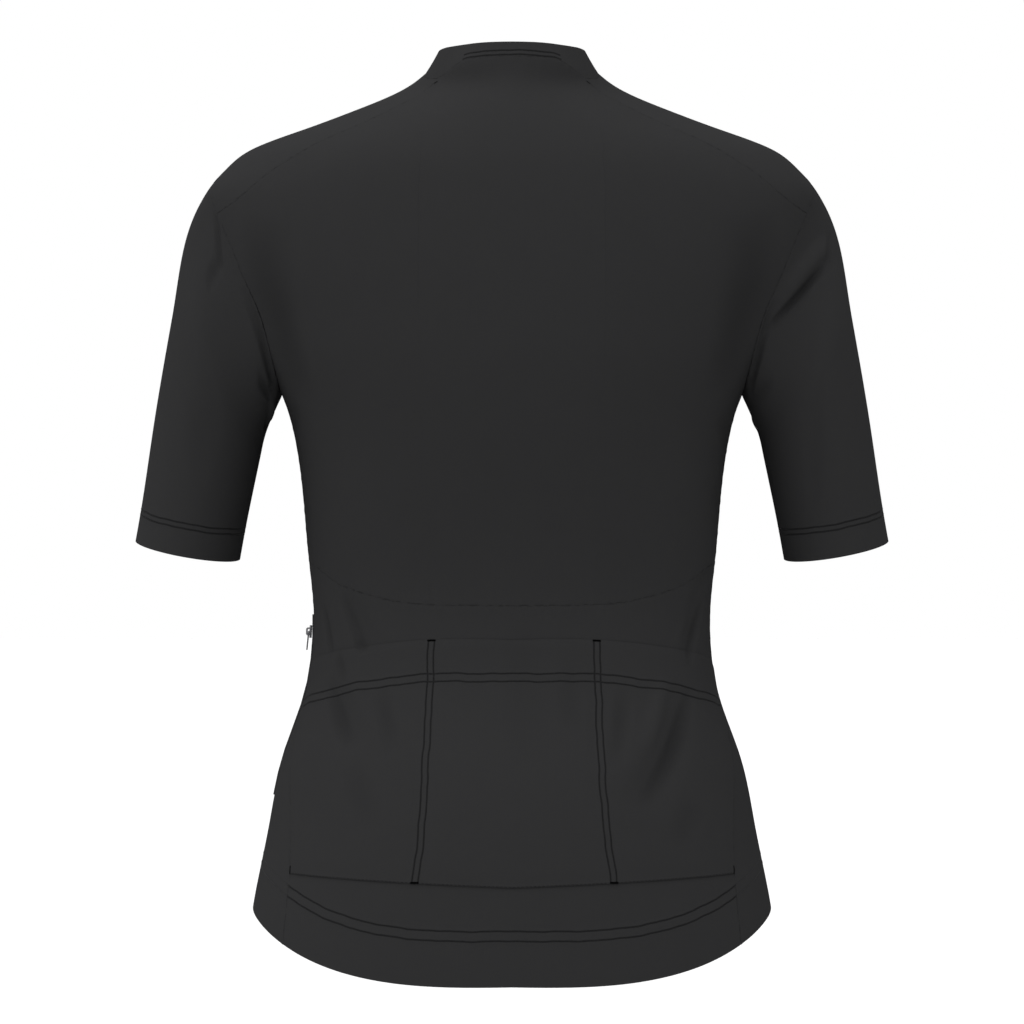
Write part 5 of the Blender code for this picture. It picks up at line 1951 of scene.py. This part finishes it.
# ------------------------------------------------------------------ zips
@dataclass(frozen=True)
class SliderSizes:
    """The slider and pull of a zip of size 1: X across, Y up it and Z off the cloth."""

    half_top: float = 0.0031
    half_foot: float = 0.0023
    half_length: float = 0.0044
    thickness: float = 0.0013
    bridge_half_width: float = 0.0008
    bridge_half_length: float = 0.0028
    bridge_height: float = 0.0026
    bridge_bar: float = 0.0011
    bridge_root: float = 0.0004
    pull_thickness: float = 0.0008
    pull_half_width: float = 0.0020
    pull_eye_half_width: float = 0.0012
    pull_eye_length: float = 0.0032
    pull_length: float = 0.0135
    pull_end_half_width: float = 0.0016
    axis_height: float = 0.00075
    plate_bevel: float = 0.00028
    bridge_bevel: float = 0.00016
    pull_bevel: float = 0.00018

    def plate(self) -> bmesh.types.BMesh:
        """The plate, wider at its top where the two halves of the zip part."""
        top, foot, half = self.half_top, self.half_foot, self.half_length
        right = ((foot, -half), (top, 0.2 * half), (top, 0.8 * half), (0.8 * top, half))
        return slab(both_sides(right), 0.0, self.thickness, self.plate_bevel)

    def bridge(self) -> bmesh.types.BMesh:
        """The arch over the plate that holds the pull."""
        half, height, bar = self.bridge_half_length, self.bridge_height, self.bridge_bar
        chamfer = 0.4 * bar
        outside = ((half - 2.0 * chamfer, height), (half, height - 2.0 * chamfer))
        feet = ((half, -self.bridge_root), (half - bar, -self.bridge_root))
        inside = ((half - bar, height - bar - chamfer), (half - bar - chamfer, height - bar))
        outline = both_sides(outside + feet + inside)
        made = slab(outline, -self.bridge_half_width, self.bridge_half_width, self.bridge_bevel)
        turn = Matrix(((0.0, 0.0, 1.0), (1.0, 0.0, 0.0), (0.0, 1.0, 0.0)))
        bmesh.ops.transform(made, matrix=turn.to_4x4(), verts=made.verts[:])
        bmesh.ops.translate(made, vec=(0.0, 0.0, self.thickness), verts=made.verts[:])
        return made

    def pull(self) -> bmesh.types.BMesh:
        """The pull, hanging down from the hinge axis at its origin."""
        half = self.pull_thickness / 2.0
        wide, narrow, end = self.pull_half_width, self.pull_eye_half_width, self.pull_end_half_width
        foot = half - self.pull_length
        eye = -half - self.pull_eye_length
        outer = both_sides(((wide, half), (end, 0.8 * foot), (0.6 * end, foot)))
        inner = both_sides(((narrow, -half), (narrow, 0.9 * eye), (0.7 * narrow, eye)))
        made = bmesh.new()
        outside = [made.verts.new((x, y, -half)) for x, y in outer]
        inside = [made.verts.new((x, y, -half)) for x, y in inner]
        count = len(outer)
        for i in range(count):
            after = (i + 1) % count
            made.faces.new((outside[i], outside[after], inside[after], inside[i]))
        return raised(made, self.pull_thickness, self.pull_bevel)


def both_sides(right: Sequence[tuple[float, float]]) -> list[tuple[float, float]]:
    """A whole outline from its right side."""
    left = [(-x, y) for x, y in right]
    return [left[0], *right, *left[:0:-1]]


def slab(outline: Sequence[tuple[float, float]], low: float, high: float, bevel: float) -> bmesh.types.BMesh:
    """A slab over an outline in the XY plane, between two heights, with rounded edges."""
    made = bmesh.new()
    made.faces.new([made.verts.new((x, y, low)) for x, y in outline])
    return raised(made, high - low, bevel)


def raised(made: bmesh.types.BMesh, height: float, bevel: float) -> bmesh.types.BMesh:
    """A flat outline raised by a height, with its sharp edges rounded by a bevel."""
    grown = bmesh.ops.extrude_face_region(made, geom=made.faces[:])
    lifted = [item for item in grown["geom"] if isinstance(item, bmesh.types.BMVert)]
    bmesh.ops.translate(made, vec=(0.0, 0.0, height), verts=lifted)
    bmesh.ops.recalc_face_normals(made, faces=made.faces[:])
    sharp = [edge for edge in made.edges if edge.calc_face_angle(0.0) > SHARP]
    bmesh.ops.bevel(
        made, geom=sharp, offset=bevel, segments=2, profile=0.5, affect="EDGES", material=-1
    )
    return made


def read_at(mark: float, along: Array, *lines: Array) -> list[Array]:
    """What each line says at a length along the first."""
    return [np.array([np.interp(mark, along, column) for column in line.T]) for line in lines]


@dataclass
class Zip:
    """One closed zip: two tapes, their interlocked coil, and the slider with its pull."""

    name: str
    path: Array
    normals: Array
    tape: tuple[tuple[float, float], ...]  # distances out along a tape, and how deep it lies there
    coil_pitch: float
    coil_half: tuple[float, float, float]  # across, along and off the tape
    coil_rise: float
    slider_down: float
    chain_rise: float
    scale: float
    tilt: float
    pull_body: str
    sizes: SliderSizes = SliderSizes()
    tape_wall: float = 0.0006
    least_width: float = 0.01  # of a tape's cut, with its edge under the cloth
    coil_start: float = 0.75  # pitches from the zip's end
    coil_apart: float = 0.45  # of a loop's half width, to its own side

    def build(self, tape: bpy.types.Material, coil: bpy.types.Material, metal: bpy.types.Material) -> None:
        """Builds the zip's pieces.

        Args:
            tape: Finish of the tapes.
            coil: Finish of the coil.
            metal: Finish of the slider and the pull.
        """
        self.tapes(tape)
        self.coil(coil)
        self.slider(metal)

    def sideways(self) -> Array:
        """Directions across the zip at each point of its path."""
        return unit(np.cross(np.gradient(self.path, axis=0), self.normals))

    def tapes(self, material: bpy.types.Material) -> None:
        """The two tapes, edge to edge under the coil."""
        across = self.sideways()
        along = run_length(self.path)
        offsets, drops = np.array(self.tape).T
        width = self.tape[-1][0] - self.tape[0][0]
        for label, side, replaces in (("right", -1.0, []), ("left", 1.0, [self.name])):
            offsets = side * np.abs(offsets)
            points = self.path[:, None] + offsets[None, :, None] * across[:, None]
            points = points - drops[None, :, None] * self.normals[:, None]
            cut = np.stack(np.broadcast_arrays(offsets[None, :], along[:, None]), -1)
            tool = grid_mesh(points, cut)
            tool.normal_update()
            facing = sum(vertex.normal.dot(self.normals[0]) for vertex in list(tool.verts)[:40])
            if facing < 0.0:
                bmesh.ops.reverse_faces(tool, faces=tool.faces[:])
            piece = add_piece(f"{self.name}_tape_{label}", tool, material, replaces=replaces)
            wall = piece.modifiers.new("wall", "SOLIDIFY")
            wall.thickness = self.tape_wall
            wall.offset = -1.0
            width * along[-1]

    def coil(self, material: bpy.types.Material) -> None:
        """The coil: short loops from both sides that lock past each other in the middle."""
        frames = []
        along = run_length(self.path)
        across = self.sideways()
        count = round(along[-1] / self.coil_pitch) - 1
        half_across, half_along, half_out = self.coil_half
        for i in range(2 * count):
            mark = (i / 2.0 + self.coil_start) * self.coil_pitch
            side = 1.0 if i % 2 else -1.0
            spot, aside, out = read_at(mark, along, self.path, across, self.normals)
            middle = spot + side * self.coil_apart * half_across * aside + self.coil_rise * out
            frames.append(spindle_frame(middle, aside, out, (half_along, half_out, half_across)))
        add_piece(self.name + "_coil", spindles(frames), material)

    def place(self) -> tuple[Matrix, Vector]:
        """Axes and origin of the slider, just off the face of the chain."""
        along = run_length(self.path)
        slopes = unit(-np.gradient(self.path, axis=0))
        point, up, out = read_at(self.slider_down, along, self.path, slopes, self.normals)
        out = unit(out - out.dot(up) / up.dot(up) * up)
        up = unit(up)
        axes = Matrix(np.stack([np.cross(up, out), up, out], 1).tolist())
        return axes, Vector(point + (self.chain_rise + SEAM_GAP) * out)

    def slider(self, metal: bpy.types.Material) -> None:
        """The slider's plate and bridge, and the pull hinged under the bridge."""
        axes, origin = self.place()
        for label, tool in (("plate", self.sizes.plate()), ("bridge", self.sizes.bridge())):
            bmesh.ops.transform(tool, matrix=(axes * self.scale).to_4x4(), verts=tool.verts[:])
            bmesh.ops.translate(tool, vec=origin, verts=tool.verts[:])
            replaces = [self.name + "_slider"] if label == "plate" else []
            add_piece(f"{self.name}_slider_{label}", tool, metal, replaces=replaces)
        rise = self.scale * (self.sizes.thickness + self.sizes.axis_height)
        hinge = origin + rise * axes.col[2]
        tool = self.sizes.pull()
        leaning = axes @ Matrix.Rotation(-self.tilt, 3, "X")
        bmesh.ops.transform(tool, matrix=(leaning * self.scale).to_4x4(), verts=tool.verts[:])
        bmesh.ops.translate(tool, vec=hinge, verts=tool.verts[:])
        name = self.name + "_pull"
        add_piece(name + "_tab", tool, metal, body=self.pull_body, replaces=[name])


@dataclass
class Zips:
    """The long front zip and the short one at the wearer's left waist."""

    pattern: Pattern
    collar: Collar
    tape_thickness: float = 0.0009
    side_turn: float = 94.0
    side_top: float = -0.3715
    side_foot: float = -0.4970
    side_cells: int = 8
    front_step: float = 0.0024
    front_levels: int = 240
    collar_cells: tuple[float, float] = (9.0, 10.0)  # of the neck seam, at the zip

    def front_path(self) -> tuple[Array, Array]:
        """The front zip's middle line on the cloth's outside, and its normals."""
        form = self.pattern.form
        ends = self.pattern.edges["neck_front"].at(np.array(self.collar_cells))
        collar = self.collar.grid(ends)[:, -1] * np.array([0.0, 1.0, 1.0])
        low = self.pattern.hem[-1].level
        levels = np.linspace(self.pattern.neck_zip_level, low, self.front_levels)
        body = form.point(np.full(len(levels), math.pi), levels)
        path = np.concatenate([collar[:-1], body])
        path = resampled(path, round(run_length(path)[-1] / self.front_step))
        return path, unit(np.cross(np.gradient(path, axis=0), np.array([1.0, 0.0, 0.0])))

    def side_path(self) -> tuple[Array, Array]:
        """The side zip's middle line, on the outside of its tape, and its normals."""
        form = self.pattern.form
        levels = np.linspace(self.side_top, self.side_foot, self.side_cells + 1)
        turns = np.full(len(levels), math.radians(self.side_turn))
        normals = form.normal(turns, levels)
        path = form.point(turns, levels) + (SEAM_GAP + self.tape_thickness) * normals
        return path, normals

    def build(self) -> None:
        """Builds both zips."""
        tape, coil = ZIP_TAPE.material("zip_tape"), COIL_NYLON.material("zip_coil")
        metal = SATIN_METAL.material("zip_metal")
        path, normals = self.front_path()
        front = Zip(
            name="front_zip",
            path=path,
            normals=normals,
            tape=((0.0001, 0.0004), (0.0015, 0.0004), (0.0029, 0.0004), (0.0040, 0.0016), (0.0095, 0.0016)),
            coil_pitch=0.0014,
            coil_half=(0.00135, 0.00042, 0.00045),
            coil_rise=0.00015,
            slider_down=0.0095,
            chain_rise=0.0007,
            scale=1.35,
            tilt=math.radians(20.0),
            pull_body="front_pull",
        )
        front.build(tape, coil, metal)
        path, normals = self.side_path()
        side = Zip(
            name="side_zip",
            path=path,
            normals=normals,
            tape=((0.0001, 0.0), (0.0012, 0.0), (0.0024, 0.0), (0.0035, 0.0)),
            tape_wall=0.00150,
            coil_pitch=0.0011,
            coil_half=(0.00095, 0.00034, 0.00036),
            coil_rise=0.00010,
            slider_down=0.0120,
            chain_rise=0.0005,
            scale=1.0,
            tilt=math.radians(4.0),
            pull_body="side_pull",
        )
        side.build(tape, coil, metal)


# ------------------------------------------------------------------ the studio
@dataclass
class Studio:
    """A pale floor, soft light and the camera behind the jersey."""

    camera_place: tuple[float, float, float] = (0.0, 3.0, -0.30024)
    lens: float = 151.75
    farthest: float = 60.0
    floor_level: float = -0.80
    floor_half: float = 14.0
    floor_cells: int = 8
    backdrop: float = 1.0
    light_level: float = 0.80
    least_light: float = 0.40
    light_from: tuple[float, float, float] = (0.62, 0.10, 2.15)

    def build(self) -> None:
        """Builds the studio."""
        self.floor()
        self.world()
        self.camera()

    def floor(self) -> None:
        """The floor, well under the garment that the wearer's shoulders would hold up."""
        tool = bmesh.new()
        cells = self.floor_cells
        bmesh.ops.create_grid(tool, x_segments=cells, y_segments=cells, size=self.floor_half)
        bmesh.ops.translate(tool, vec=(0.0, 0.0, self.floor_level), verts=tool.verts[:])
        add_object("floor", tool, PAPER.material("pale_floor"))

    def world(self) -> None:
        """A white backdrop, and soft light from above that leans to one side."""
        world = bpy.data.worlds.new("studio")
        shader = Shader(world)
        way = shader.node("ShaderNodeTexCoord").outputs["Generated"]
        sockets = {0: way, 1: self.light_from}
        share = shader.signal("Value", "ShaderNodeVectorMath", {"operation": "DOT_PRODUCT"}, sockets)
        level = shader.math("MAXIMUM", share + self.light_level, self.least_light)
        seen = shader.node("ShaderNodeLightPath").outputs["Is Camera Ray"]
        sockets = {"Factor": seen, "A": level, "B": self.backdrop}
        level = shader.signal("Result", "ShaderNodeMix", None, sockets)
        sockets = {"Color": (1.0, 1.0, 1.0, 1.0), "Strength": level}
        light = shader.node("ShaderNodeBackground", None, sockets).outputs["Background"]
        shader.node("ShaderNodeOutputWorld", None, {"Surface": light})
        bpy.context.scene.world = world
        bpy.context.scene.view_settings.view_transform = "Standard"

    def camera(self) -> None:
        """The camera, level, straight behind the jersey."""
        data = bpy.data.cameras.new("camera")
        data.lens = self.lens
        data.clip_end = self.farthest
        camera = bpy.data.objects.new("camera", data)
        camera.location = self.camera_place
        camera.rotation_euler = (math.radians(90.0), 0.0, math.radians(180.0))
        bpy.context.scene.collection.objects.link(camera)
        bpy.context.scene.camera = camera


def main() -> None:
    """Dresses the jersey and sets the studio."""
    logging.basicConfig(level=logging.INFO, format="%(name)s: %(message)s")
    pattern = Pattern(BodyForm())
    knit = Knit()
    tailor = Tailor(
        thread=THREAD.material("thread"),
        dense_thread=DENSE_THREAD.material("bar_tack_thread"),
        tonal_thread=TONAL_THREAD.material("tonal_thread"),
    )
    collar = Collar(pattern, tailor, knit)
    Torso(pattern, tailor, knit).build()
    Sleeves(pattern, tailor, knit).build()
    collar.build()
    SeamAllowances(pattern, OVERLOCK.material("overlock")).build()
    Zips(pattern, collar).build()
    Studio().build()


if __name__ == "__main__":
    main()
